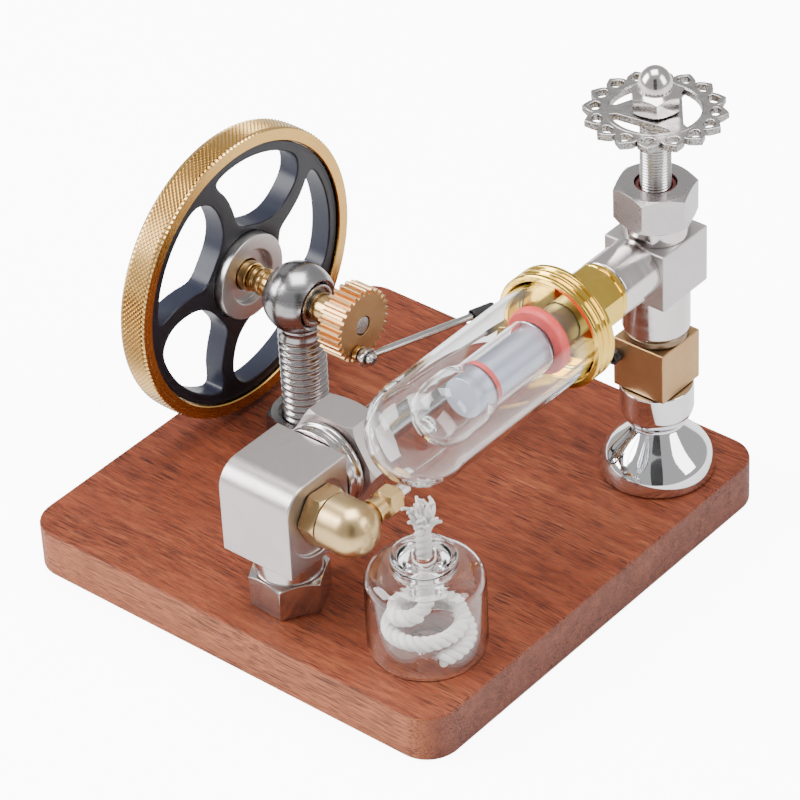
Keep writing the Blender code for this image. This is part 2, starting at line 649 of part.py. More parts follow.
for i in range(11):
    t = i / 10
    ease = t * t * (3 - 2 * t)
    path.append(Vector((bend.x + (arrive.x - bend.x) * ease, bend.y + (arrive.y - bend.y) * t,
                        bend.z + (arrive.z - bend.z) * ease)))
path.append(finish)
sweep("transfer_tube", GLASS, path, PIPE_R, 10)

# Valve column
valve_at = (VALVE_X, VALVE_Y, 0)
shape = [(0.431, 1.0), (0.431, 0.985), (0.515, 0.864), (0.683, 0.679), (0.838, 0.494), (0.958, 0.309),
         (1.0, 0.154), (1.0, 0.0)]
flare = [(0, floor + FLARE_H)] + [(r * FLARE_R, floor + h * FLARE_H) for r, h in shape]
flare += [(socket_r, floor), (socket_r, socket_top), (0, socket_top)]
lathe("flared_foot", CHROME, flare, valve_at, steps=32)
cup = [(0, cup_low + CUP_H), (CUP_R, cup_low + CUP_H), (CUP_R, cup_low + CUP_H * 0.38),
       (CUP_R * 0.93, cup_low + CUP_H * 0.24), (CUP_R * 0.72, cup_low), (0, cup_low)]
lathe("foot_cup", CHROME, cup, valve_at, steps=32)
w = BRASS_W / 2
block_brass = box("column_block", BRASS, (-w, -w, brass_low), (w, w, brass_high), valve_at)
soften(block_brass, 0.5 * MM)
seal_low = brass_high + GAP
seal_high = seal_low + SEAL_H
lathe("column_seal", PLASTIC, [(0, seal_high), (SEAL_R, seal_high), (SEAL_R, seal_low), (0, seal_low)],
      valve_at, steps=24)
boss_low = seal_high + GAP
body_low = boss_low + BOSS_H
body_high = body_low + BODY_H
hot_z = body_low + BODY_H * 0.61
gland_low = body_high + TOP_H + GAP
gland_high = gland_low + GLAND_H
stem_low = body_low + BODY_H * 0.4
hand_low = gland_high + STEM_SHOW + GAP
hand_high = hand_low + HAND_T
stem_hole = STEM_R + GAP
w = BODY_W / 2
body = box("valve_body", NICKEL, (-w, -w, body_low), (w, w, body_high), valve_at)
soften(body, 0.6 * MM)
lower = [(0, body_low + 1 * MM), (BOSS_R, body_low + 1 * MM), (BOSS_R, boss_low), (0, boss_low)]
join(body, lathe("body_boss", NICKEL, lower, valve_at, "Z", 24, False, cutters), "UNION")
upper_low = body_high - 1 * MM
upper = [(0, gland_low - GAP), (TOP_R, gland_low - GAP), (TOP_R, upper_low), (0, upper_low)]
join(body, lathe("body_top", NICKEL, upper, valve_at, "Z", 24, False, cutters), "UNION")
hot_at = (VALVE_X, VALVE_Y, hot_z)
port_end = -w - PORT_L
port = [(0, -w + 1 * MM), (PORT_R, -w + 1 * MM), (PORT_R, port_end), (0, port_end)]
join(body, lathe("body_port", NICKEL, port, hot_at, "Y", 24, False, cutters), "UNION")
stem_bore = [(0, gland_low + GAP), (stem_hole, gland_low + GAP), (stem_hole, stem_low - 3 * MM),
             (0, stem_low - 3 * MM)]
join(body, lathe("stem_bore", NICKEL, stem_bore, valve_at, "Z", 20, False, cutters), "DIFFERENCE")
pack_low = gland_low + GLAND_H * 0.32
pack_hole = PACK_R + GAP
big = GLAND_R * 1.03
gland = [(GLAND_R * 0.87, gland_high), (big, gland_high - 1.4 * MM), (big, gland_low),
         (stem_hole, gland_low), (stem_hole, pack_low), (pack_hole, pack_low), (pack_hole, gland_high)]
hex_piece("gland_nut", NICKEL, 6, GLAND_R, -12, gland, valve_at, "Z", 24)
ring_piece("packing_ring", RED, PACK_R, stem_hole, pack_low + GAP, gland_high - 0.8 * MM, valve_at, "Z", 20)
acorn_low = hand_high + GAP
acorn_top = acorn_low + ACORN_HEX + ACORN_DOME_R + 2.2 * MM
stud_end = acorn_low + ACORN_HEX + 2 * MM
stem = [(0, stud_end), (STUD_TOP_R, stud_end), (STUD_TOP_R, hand_low - GAP), (STEM_R, hand_low - GAP),
        (STEM_R, stem_low), (0, stem_low)]
lathe("valve_stem", STEEL, stem, valve_at, steps=20)

# Handwheel: a scalloped rim of petals, each with an opening, round a three-armed centre
rim = []
tear = []
for i in range(PETALS):
    centre = math.radians(98) + 2 * math.pi * i / PETALS
    wide = 2 * math.pi / PETALS
    for part, offset in ((0.9, -0.47), (0.965, -0.3), (1.0, -0.1), (1.0, 0.1), (0.965, 0.3), (0.9, 0.47)):
        a = centre + wide * offset
        rim.append((HAND_R * part * math.cos(a), HAND_R * part * math.sin(a)))
    drop = []
    for part, offset in ((0.76, 0.0), (0.85, -0.24), (0.91, -0.12), (0.91, 0.12), (0.85, 0.24)):
        a = centre + wide * offset
        drop.append((HAND_R * part * math.cos(a), HAND_R * part * math.sin(a)))
    tear.append(list(reversed(drop)))
for i in range(3):
    middle = 38 + 120 * i
    reach = math.degrees(math.acos(0.66)) - 2
    piece = arc(0, 0, HAND_RING_R, middle - reach, middle + reach, 8)
    tear.append(piece)
fixed = []
for one in tear:
    area = sum(a[0] * b[1] - b[0] * a[1] for a, b in zip(one, one[1:] + one[:1]))
    fixed.append(one if area > 0 else list(reversed(one)))
hand = prism("handwheel", SILVER, [rim], hand_low, hand_high, valve_at)
cuts = prism("handwheel_openings", SILVER, fixed, hand_low - GAP, hand_high + GAP, valve_at, "Z", cutters)
join(hand, cuts, "DIFFERENCE")
hand_hole_r = STUD_TOP_R + GAP
hand_hole = [(0, hand_high + GAP), (hand_hole_r, hand_high + GAP), (hand_hole_r, hand_low - GAP),
             (0, hand_low - GAP)]
join(hand, lathe("handwheel_hole", SILVER, hand_hole, valve_at, "Z", 16, False, cutters), "DIFFERENCE")
hex_top = acorn_low + ACORN_HEX
acorn = [(0, acorn_top)]
for i in range(1, 6):
    a = math.radians(18 * i)
    acorn.append((ACORN_DOME_R * math.sin(a), hex_top + 0.6 * MM + (acorn_top - hex_top - 0.6 * MM) * math.cos(a)))
acorn += [(ACORN_DOME_R, hex_top), (ACORN_R * 0.88, hex_top), (ACORN_R * 1.04, hex_top - 1 * MM),
          (ACORN_R * 1.04, acorn_low), (hand_hole_r, acorn_low), (hand_hole_r, stud_end + GAP),
          (0, stud_end + GAP)]
bar_acorn = prism("acorn_nut", NICKEL, [polygon(6, ACORN_R, 10)], acorn_low - SKIN, acorn_top + SKIN,
                  valve_at)
join(bar_acorn, lathe("acorn_trim", NICKEL, acorn, valve_at, "Z", 24, False, cutters), "INTERSECT")

# Hot end, as distances along Y from the valve axis
neck_end = port_end - GAP
neck_flange = neck_end - 1.2 * MM
neck_start = neck_end - NECK_TUBE_L
ring_end = neck_start - GAP
ring_start = ring_end - COLLAR_RING_L
glass_end = ring_start + TUBE_SEAT
guide_end = neck_start + 1 * MM
guide_tip = guide_end - GUIDE_L
guide_hole = GUIDE_R + GAP
neck = [(PORT_R, neck_end), (PORT_R, neck_flange), (NECK_HEX_R * 1.04, neck_flange),
        (NECK_HEX_R * 1.04, neck_start), (guide_hole, neck_start), (guide_hole, guide_end + GAP),
        (0, guide_end + GAP), (0, neck_end)]
neck = [neck[-1]] + neck[:-1]
bar_neck = prism("collar_neck", GOLD, [polygon(8, NECK_HEX_R, 22.5)], neck_start - SKIN, neck_end + SKIN,
                 hot_at, "Y")
join(bar_neck, lathe("collar_neck_trim", GOLD, neck, hot_at, "Y", 24, False, cutters), "INTERSECT")
groove = COLLAR_RING_R - 0.7 * MM
u = COLLAR_RING_L / 7
collar = [(COLLAR_RING_R - 0.5 * MM, ring_end), (COLLAR_RING_R, ring_end - u), (groove, ring_end - 2 * u),
          (COLLAR_RING_R, ring_end - 3 * u), (groove, ring_end - 4 * u), (COLLAR_RING_R, ring_end - 5 * u),
          (COLLAR_RING_R, ring_start), (TUBE_R + GAP, ring_start), (TUBE_R + GAP, glass_end + GAP),
          (guide_hole, glass_end + GAP), (guide_hole, ring_end)]
lathe("collar_ring", GOLD, collar, hot_at, "Y", 40, True)


def round_end(radius, tip, wide, count, squash=1.0):
    """A rounded closed end, from the straight wall to the tip on the axis."""
    found = []
    for i in range(count + 1):
        a = math.radians(90 * i / count)
        found.append((radius * math.cos(a), tip + wide * squash * (1 - math.sin(a))))
    found[-1] = (0, tip)
    return found


tube_tip = glass_end - TUBE_L
inner = TUBE_R - TUBE_WALL
outer_wall = [(TUBE_R, glass_end)] + round_end(TUBE_R, tube_tip, TUBE_R, 7)
inner_wall = list(reversed(round_end(inner, tube_tip + TUBE_WALL, inner, 7))) + [(inner, glass_end)]
lathe("hot_tube", GLASS, outer_wall + inner_wall, hot_at, "Y", 32, True)
guide_wall = GUIDE_R * 0.8
guide = [(GUIDE_R, guide_end), (GUIDE_R, guide_tip + 0.4 * MM), (GUIDE_R - 0.4 * MM, guide_tip),
         (0, guide_tip), (0, guide_tip + 1.2 * MM), (guide_wall, guide_tip + 1.2 * MM),
         (guide_wall, guide_end)]
lathe("guide_tube", ALU, guide, hot_at, "Y", 24, True)
ring_mid = guide_tip + 7.5 * MM
ring_piece("slide_ring", RED, GUIDE_R + GAP + SLIDE_RING_T, GUIDE_R + GAP, ring_mid - 0.8 * MM,
           ring_mid + 0.8 * MM, hot_at, "Y", 24)
buffer_mid = ring_start - 5 * MM
swell = BUFFER_T / 2
buffer = [(BUFFER_R - swell, buffer_mid + swell), (BUFFER_R - swell * 0.3, buffer_mid + swell * 0.7),
          (BUFFER_R, buffer_mid), (BUFFER_R - swell * 0.3, buffer_mid - swell * 0.7),
          (BUFFER_R - swell, buffer_mid - swell), (guide_hole, buffer_mid - swell),
          (guide_hole, buffer_mid + swell)]
lathe("buffer_ring", RED, buffer, hot_at, "Y", 24, True)
sleeve_in = GUIDE_R + GAP * 2 + SLIDE_RING_T + GAP
sleeve_out = sleeve_in + DISPLACER_WALL
bulb_in = DISPLACER_R - DISPLACER_WALL
mouth = buffer_mid - swell - 2 * MM
disp_tip = mouth - DISPLACER_L + 2 * MM
bulb_high = disp_tip + 15 * MM
sleeve_low = bulb_high + 5 * MM
shell = [(sleeve_out, mouth), (sleeve_out, sleeve_low), (DISPLACER_R, bulb_high)]
shell += round_end(DISPLACER_R, disp_tip, DISPLACER_R * 0.75, 6)
inside = list(reversed(round_end(bulb_in, disp_tip + DISPLACER_WALL, bulb_in * 0.75, 6)))
inside += [(bulb_in, bulb_high), (sleeve_in, sleeve_low), (sleeve_in, mouth)]
lathe("displacer", GLASS, shell + inside, hot_at, "Y", 28, True)

# Spirit lamp
lamp_at = (LAMP_X, LAMP_Y, 0)
lamp_top = floor + LAMP_H
neck_top = lamp_top + LAMP_NECK_H
curve = [(LAMP_R - LAMP_ROUND + LAMP_ROUND * math.sin(a), lamp_top - LAMP_ROUND + LAMP_ROUND * math.cos(a))
         for a in [math.radians(22.5 * i) for i in range(5)]]
outside = [(LAMP_NECK_R, neck_top), (LAMP_NECK_R, lamp_top)] + curve
outside += [(LAMP_R, floor + 1.5 * MM), (LAMP_R - 1.5 * MM, floor), (PUNT_R, floor),
            (PUNT_R * 0.6, floor + PUNT_H * 0.8), (0, floor + PUNT_H)]
bend_r = LAMP_ROUND - LAMP_WALL
shoulder_in = [(LAMP_R - LAMP_ROUND + bend_r * math.sin(a), lamp_top - LAMP_ROUND + bend_r * math.cos(a))
               for a in [math.radians(90 - 22.5 * i) for i in range(5)]]
floor_in = floor + 2.2 * MM
inside = [(0, floor_in + PUNT_H), (PUNT_R * 0.7, floor_in + PUNT_H * 0.8), (PUNT_R * 1.2, floor_in),
          (LAMP_R - LAMP_WALL - 1.5 * MM, floor_in), (LAMP_R - LAMP_WALL, floor_in + 1.5 * MM)]
inside += shoulder_in + [(LAMP_NECK_R - LAMP_WALL, lamp_top - LAMP_WALL), (LAMP_NECK_R - LAMP_WALL, neck_top)]
lathe("lamp_bottle", GLASS, outside + inside, lamp_at, "Z", 28, True)
wick_hole = WICK_R + GAP * 2
plug_r = LAMP_NECK_R - LAMP_WALL - GAP
burner_low = neck_top + GAP
burner = [(LAMP_NECK_R, burner_low + BURNER_FLANGE), (LAMP_NECK_R, burner_low), (plug_r, burner_low),
          (plug_r, lamp_top - LAMP_WALL), (wick_hole + 1.2 * MM, burner_low - BURNER_DEEP),
          (wick_hole, burner_low - BURNER_DEEP), (wick_hole, burner_low + BURNER_FLANGE)]
lathe("lamp_burner", GLASS, burner, lamp_at, "Z", 24, True)
low_z = floor_in + WICK_R + GAP * 2
loop_r = LAMP_R - LAMP_WALL - WICK_R - 1.3 * MM
rise = 2 * WICK_R + WICK_CLEAR
top_z = burner_low + BURNER_FLANGE + WICK_SHOW
turn_z = low_z + rise * WICK_TURNS
path = []
for i in range(35):
    t = i / 34
    a = 2 * math.pi * WICK_TURNS * t
    r = loop_r - WICK_TAPER * t
    path.append(Vector((LAMP_X + r * math.cos(a - 0.6), LAMP_Y + r * math.sin(a - 0.6),
                        low_z + (turn_z - low_z) * t)))
leave = 2 * math.pi * WICK_TURNS - 0.6
exit_z = burner_low - BURNER_DEEP - 0.5 * MM
for i in range(1, 11):
    t = i / 10
    a = leave + 1.7 * t
    r = (loop_r - WICK_TAPER) * (1 - t * t * (3 - 2 * t))
    z = turn_z + (exit_z - turn_z) * t ** 1.5
    path.append(Vector((LAMP_X + r * math.cos(a), LAMP_Y + r * math.sin(a), z)))
path.append(Vector((LAMP_X, LAMP_Y, (exit_z + top_z) / 2)))
path.append(Vector((LAMP_X, LAMP_Y, top_z)))
sweep("wick", WICK, path, WICK_R, 8)

bpy.context.view_layer.update()
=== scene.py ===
import math
import random

import bpy
from mathutils import Matrix, Vector


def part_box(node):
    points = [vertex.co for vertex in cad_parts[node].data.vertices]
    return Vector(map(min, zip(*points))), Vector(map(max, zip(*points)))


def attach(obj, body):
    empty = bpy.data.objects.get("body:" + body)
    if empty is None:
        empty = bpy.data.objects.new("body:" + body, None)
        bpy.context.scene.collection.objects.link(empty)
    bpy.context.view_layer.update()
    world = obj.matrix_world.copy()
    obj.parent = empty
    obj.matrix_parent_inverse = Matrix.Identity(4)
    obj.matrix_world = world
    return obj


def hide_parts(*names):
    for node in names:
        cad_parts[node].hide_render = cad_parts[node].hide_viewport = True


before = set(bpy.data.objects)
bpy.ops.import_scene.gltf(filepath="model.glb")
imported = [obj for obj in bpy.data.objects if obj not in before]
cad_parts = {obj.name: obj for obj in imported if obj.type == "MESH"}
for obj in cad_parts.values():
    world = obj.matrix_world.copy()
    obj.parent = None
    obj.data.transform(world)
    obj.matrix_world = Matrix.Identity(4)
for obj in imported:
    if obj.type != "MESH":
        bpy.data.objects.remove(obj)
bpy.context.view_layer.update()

MM = 0.001

# Camera
# A long lens looks down on the engine from its valve corner, so the board reads as a diamond
# with the flywheel at the back left and the handwheel at the top right.
turn, rise, roll = math.radians(41.22), math.radians(36.286), math.radians(-2.954)
back = Vector((math.sin(turn) * math.cos(rise), -math.cos(turn) * math.cos(rise), math.sin(rise)))
level = Vector((math.cos(turn), math.sin(turn), 0))
upward = back.cross(level)
right = math.cos(roll) * level + math.sin(roll) * upward
top = math.cos(roll) * upward - math.sin(roll) * level
view = Matrix((right, top, back)).transposed().to_4x4()
view.translation = (0.60210, -0.68373, 0.71450)
bpy.ops.object.camera_add()
camera = bpy.context.object
camera.name = "camera"
camera.matrix_world = view
camera.data.lens = 179.9
camera.data.sensor_width = 36
camera.data.clip_start = 0.01
bpy.context.scene.camera = camera


# Wick
# Twisted three-strand cotton rope. It coils up from the bottle's floor in a narrowing loop, climbs
# through the glass holder and ends in a frayed tuft just above it.
LAMP = (0.0531, -0.0506)
WICK_LOW = 20.4 * MM
WICK_LOOP = 11.8 * MM
WICK_RISE = 4.9 * MM
WICK_TURNS = 1.75
WICK_TAPER = 3.0 * MM
WICK_TOP = 57.5 * MM
WICK_LEAN = 0.2 * MM
WICK_STEP = 0.6 * MM
HOLDER_LOW = 33.7 * MM
STRANDS = 3
STRAND_R = 1.1 * MM
STRAND_OUT = 1.16 * MM
LAY_LENGTH = 7.0 * MM
TUFT_THREADS = 34
TUFT_R = 1.9 * MM
GOLDEN_TURN = 0.381966


def select_only(piece):
    bpy.ops.object.select_all(action="DESELECT")
    piece.select_set(True)
    bpy.context.view_layer.objects.active = piece


def group(name, inputs, outputs):
    """A shader node group with named sockets, returned with its input and output nodes."""
    tree = bpy.data.node_groups.new(name, "ShaderNodeTree")
    kinds = {"v": "NodeSocketVector", "c": "NodeSocketColor", "f": "NodeSocketFloat"}
    for label, kind in inputs:
        tree.interface.new_socket(label, in_out="INPUT", socket_type=kinds[kind])
    for label, kind in outputs:
        tree.interface.new_socket(label, in_out="OUTPUT", socket_type=kinds[kind])
    return tree, tree.nodes.new("NodeGroupInput"), tree.nodes.new("NodeGroupOutput")


def feed(tree, made, sources):
    """Gives a node's inputs, by name or number, a value or another node's output."""
    for socket, source in sources:
        if isinstance(source, bpy.types.NodeSocket):
            tree.links.new(source, made.inputs[socket])
        else:
            made.inputs[socket].default_value = source


def node(tree, kind, sources=(), **settings):
    made = tree.nodes.new("ShaderNode" + kind)
    for key, value in settings.items():
        setattr(made, key, value)
    feed(tree, made, sources)
    return made


def math_node(tree, operation, first, second=0.0, clamp=False):
    return node(tree, "Math", [(0, first), (1, second)], operation=operation, use_clamp=clamp).outputs[0]


def mixed(tree, factor, first, second):
    """Two colours mixed: a mix node's colour sockets are inputs 6 and 7 and output 2."""
    return node(tree, "Mix", [("Factor", factor), (6, first), (7, second)], data_type="RGBA").outputs[2]


def spread(tree, value, low, high, to_low, to_high):
    """A value's range stretched or squeezed to another range."""
    links = [("Value", value), ("From Min", low), ("From Max", high), ("To Min", to_low), ("To Max",
                                                                                           to_high)]
    return node(tree, "MapRange", links).outputs[0]


def noise(tree, vector, scale, detail=3.0, rough=0.5):
    links = [("Vector", vector), ("Scale", scale), ("Detail", detail), ("Roughness", rough)]
    return node(tree, "TexNoise", links).outputs["Fac"]


def build_finish():
    """Slow colour drift, fine speckle and handling marks that every solid surface here carries."""
    tree, given, out = group(
        "handled_surface",
        [("Vector", "v"), ("Colour", "c"), ("Second Colour", "c"), ("Patch Scale", "f"),
         ("Patch Strength", "f"), ("Roughness", "f"), ("Roughness Spread", "f"), ("Fine Scale", "f")],
        [("Colour", "c"), ("Roughness", "f"), ("Height", "f")])
    patch = noise(tree, given.outputs["Vector"], given.outputs["Patch Scale"], 4.0, 0.6)
    sharp = spread(tree, patch, 0.35, 0.68, 0.0, 1.0)
    factor = math_node(tree, "MULTIPLY", sharp, given.outputs["Patch Strength"])
    colour = mixed(tree, factor, given.outputs["Colour"], given.outputs["Second Colour"])
    fine = noise(tree, given.outputs["Vector"], given.outputs["Fine Scale"], 2.0)
    swing = math_node(tree, "ADD", math_node(tree, "MULTIPLY", patch, 0.6), math_node(tree, "MULTIPLY",
                                                                                      fine, 0.4))
    swing = math_node(tree, "SUBTRACT", swing, 0.5)
    swing = math_node(tree, "MULTIPLY", swing, given.outputs["Roughness Spread"])
    rough = math_node(tree, "ADD", swing, given.outputs["Roughness"], True)
    tree.links.new(colour, out.inputs["Colour"])
    tree.links.new(rough, out.inputs["Roughness"])
    tree.links.new(fine, out.inputs["Height"])
    return tree


handled_surface = build_finish()


def blank(name):
    """A new material with only a Principled shader and its output."""
    made = bpy.data.materials.new(name)
    made.use_nodes = True
    made.node_tree.nodes.clear()
    out = made.node_tree.nodes.new("ShaderNodeOutputMaterial")
    shader = made.node_tree.nodes.new("ShaderNodeBsdfPrincipled")
    made.node_tree.links.new(shader.outputs[0], out.inputs["Surface"])
    return made, made.node_tree, shader


def finish(tree, vector, colour, second, rough, spread_by, patch, strength, fine):
    """Puts the handled surface in a material and returns its outputs."""
    made = node(tree, "Group", node_tree=handled_surface)
    values = [("Colour", colour + (1,)), ("Second Colour", second + (1,)), ("Patch Scale", patch),
              ("Patch Strength", strength), ("Roughness", rough), ("Roughness Spread", spread_by),
              ("Fine Scale", fine)]
    for label, value in values:
        made.inputs[label].default_value = value
    tree.links.new(vector, made.inputs["Vector"])
    return made.outputs


def surface(name, *looks):
    """A new material with its object coordinates and its handled finish."""
    made, tree, shader = blank(name)
    place = node(tree, "TexCoord").outputs["Object"]
    return made, tree, shader, place, finish(tree, place, *looks)


def bump(tree, shader, height, distance):
    made = node(tree, "Bump", [("Height", height), ("Distance", distance), ("Strength", 1.0)])
    tree.links.new(made.outputs[0], shader.inputs["Normal"])


def cotton_material():
    made, tree, shader, place, looks = surface(
        "wick_cotton", (0.86, 0.84, 0.80), (0.74, 0.71, 0.66), 0.9, 0.1, 300.0, 0.7, 4000.0)
    fibre = node(tree, "Mapping", [("Vector", place.node.outputs["UV"]), ("Scale", (6.0, 1.2, 1.0)),
                                   ("Rotation", (0, 0, 0.55))])
    lines = noise(tree, fibre.outputs[0], 14.0, 2.0, 0.7)
    dark = spread(tree, lines, 0.38, 0.58, 0.0, 1.0)
    colour = mixed(tree, dark, (0.60, 0.57, 0.53, 1), looks["Colour"])
    tree.links.new(colour, shader.inputs["Base Color"])
    tree.links.new(looks["Roughness"], shader.inputs["Roughness"])
    shader.inputs["Sheen Weight"].default_value = 0.4
    shader.inputs["Subsurface Weight"].default_value = 0.15
    shader.inputs["Subsurface Radius"].default_value = (0.001, 0.001, 0.001)
    bump(tree, shader, lines, 0.0002)
    return made


cotton = cotton_material()


def frames_along(path):
    """At each point of a path: the point, and two directions across it that don't twist."""
    across = None
    found = []
    for i, point in enumerate(path):
        ahead = (path[min(i + 1, len(path) - 1)] - path[max(i - 1, 0)]).normalized()
        across = ahead.orthogonal() if across is None else across
        across = (across - ahead * across.dot(ahead)).normalized()
        found.append((point, across, ahead.cross(across)))
    return found


def strand(verts, faces, uvs, path, radius, sides):
    """Adds a round strand along a path, closed at both ends, with u round it and v along it."""
    start = len(verts)
    count = len(path)
    long = 0.0
    for i, (point, one, two) in enumerate(frames_along(path)):
        long += (path[i] - path[i - 1]).length if i else 0.0
        thick = radius(i / (count - 1)) if callable(radius) else radius
        for k in range(sides):
            a = 2 * math.pi * k / sides
            verts.append(point + thick * (math.cos(a) * one + math.sin(a) * two))
            uvs.append((k / sides, long * 100))
    for i in range(count - 1):
        for k in range(sides):
            n = (k + 1) % sides
            a = start + i * sides
            faces.append((a + k, a + n, a + n + sides, a + k + sides))
    faces.append([start + k for k in reversed(range(sides))])
    faces.append([start + (count - 1) * sides + k for k in range(sides)])


def from_strands(name, verts, faces, uvs, material):
    mesh = bpy.data.meshes.new(name)
    mesh.from_pydata(verts, [], faces)
    layer = mesh.uv_layers.new(name="UVMap")
    for loop in mesh.loops:
        layer.data[loop.index].uv = uvs[loop.vertex_index]
    mesh.materials.append(material)
    made = bpy.data.objects.new(name, mesh)
    bpy.context.collection.objects.link(made)
    select_only(made)
    bpy.ops.object.shade_smooth_by_angle(angle=math.radians(50))
    return made


def smooth_route(points, step):
    """Points evenly spaced on a smooth curve through the given ones."""
    dense = []
    for i in range(len(points) - 1):
        a, b = points[max(i - 1, 0)], points[i]
        c, d = points[i + 1], points[min(i + 2, len(points) - 1)]
        for k in range(12):
            t = k / 12
            dense.append(0.5 * (2 * b + (c - a) * t + (2 * a - 5 * b + 4 * c - d) * t * t
                                + (3 * b - a - 3 * c + d) * t ** 3))
    dense.append(points[-1])
    found, left = [dense[0]], step
    for one, two in zip(dense, dense[1:]):
        length = (two - one).length
        while length > 0 and left <= length:
            found.append(one.lerp(two, left / length))
            left += step
        left -= length
    return found


def by_lamp(r, a, z):
    """A point at a radius and an angle from the lamp's axis, at a height."""
    return Vector((LAMP[0] + r * math.cos(a), LAMP[1] + r * math.sin(a), z))


# The rope lies round the bottle, then swings in to the foot of the holder.
route = []
for i in range(35):
    t = i / 34
    route.append(by_lamp(WICK_LOOP - WICK_TAPER * t, 2 * math.pi * WICK_TURNS * t - 0.6,
                         WICK_LOW + WICK_RISE * WICK_TURNS * t))
leave, loop_top = 2 * math.pi * WICK_TURNS - 0.6, WICK_LOW + WICK_RISE * WICK_TURNS
for i in range(1, 11):
    t = i / 10
    route.append(by_lamp((WICK_LOOP - WICK_TAPER) * (1 - t * t * (3 - 2 * t)), leave + 1.7 * t,
                         loop_top + (HOLDER_LOW - loop_top) * t ** 1.5))
route.append(Vector((LAMP[0], LAMP[1], 46 * MM)))
route.append(Vector((LAMP[0] + WICK_LEAN, LAMP[1], WICK_TOP)))
route.reverse()
wick_line = smooth_route(route, WICK_STEP)
verts, faces, uvs = [], [], []
for strand_number in range(STRANDS):
    bent = []
    for i, (point, one, two) in enumerate(frames_along(wick_line)):
        a = 2 * math.pi * (i * WICK_STEP / LAY_LENGTH + strand_number / STRANDS)
        bent.append(point + STRAND_OUT * (math.cos(a) * one + math.sin(a) * two))
    strand(verts, faces, uvs, bent, STRAND_R, 12)
wick = from_strands("wick_rope", verts, faces, uvs, cotton)
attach(wick, "lamp")
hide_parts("wick")

dice = random.Random(7)
verts, faces, uvs = [], [], []
for i in range(TUFT_THREADS):
    a = 2 * math.pi * i * GOLDEN_TURN
    r = TUFT_R * math.sqrt((i + 0.5) / TUFT_THREADS)
    foot = Vector((LAMP[0] + WICK_LEAN + r * math.cos(a), LAMP[1] + r * math.sin(a), WICK_TOP - 0.8 * MM))
    lean = (0.25 + 0.65 * dice.random()) * r / TUFT_R + (0.35 if i % 9 == 4 else 0)
    tall = (4.6 + 3.6 * dice.random()) * MM * (1.15 - 0.4 * lean)
    hook = dice.uniform(-1.8, 1.8)
    line = []
    for k in range(9):
        t = k / 8
        b = a + hook * t * t
        out = lean * tall * (0.35 * t + 0.75 * t * t)
        line.append(foot + Vector((out * math.cos(b), out * math.sin(b), tall * (t - 0.25 * lean * t * t))))
    strand(verts, faces, uvs, line, lambda t: (0.74 - 0.30 * t) * MM, 7)
fray = from_strands("wick_fray", verts, faces, uvs, cotton)
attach(fray, "lamp")


# Base board
# One solid board of reddish hardwood with rounded corners and a small broken edge, satin
# lacquered. The grain runs along X, with dark open pores; the ends show end grain.
WOOD_DARK = (0.120, 0.021, 0.006, 1)
WOOD_MIDDLE = (0.220, 0.045, 0.016, 1)
WOOD_LIGHT = (0.335, 0.088, 0.033, 1)
WOOD_PORE = (0.022, 0.004, 0.002, 1)
WOOD_FLECK = (0.44, 0.14, 0.055, 1)
# Painted highlight: the paler tone painted on the board's front and back sides.
WOOD_LIT_FRONT = (0.58, 0.20, 0.09, 1)
BOARD_CORNER = 10 * MM
BOARD_EASE = 0.8


def facing(tree):
    """How far a surface faces along X, Y and Z."""
    normal = node(tree, "NewGeometry").outputs["Normal"]
    return node(tree, "SeparateXYZ", [("Vector", normal)]).outputs


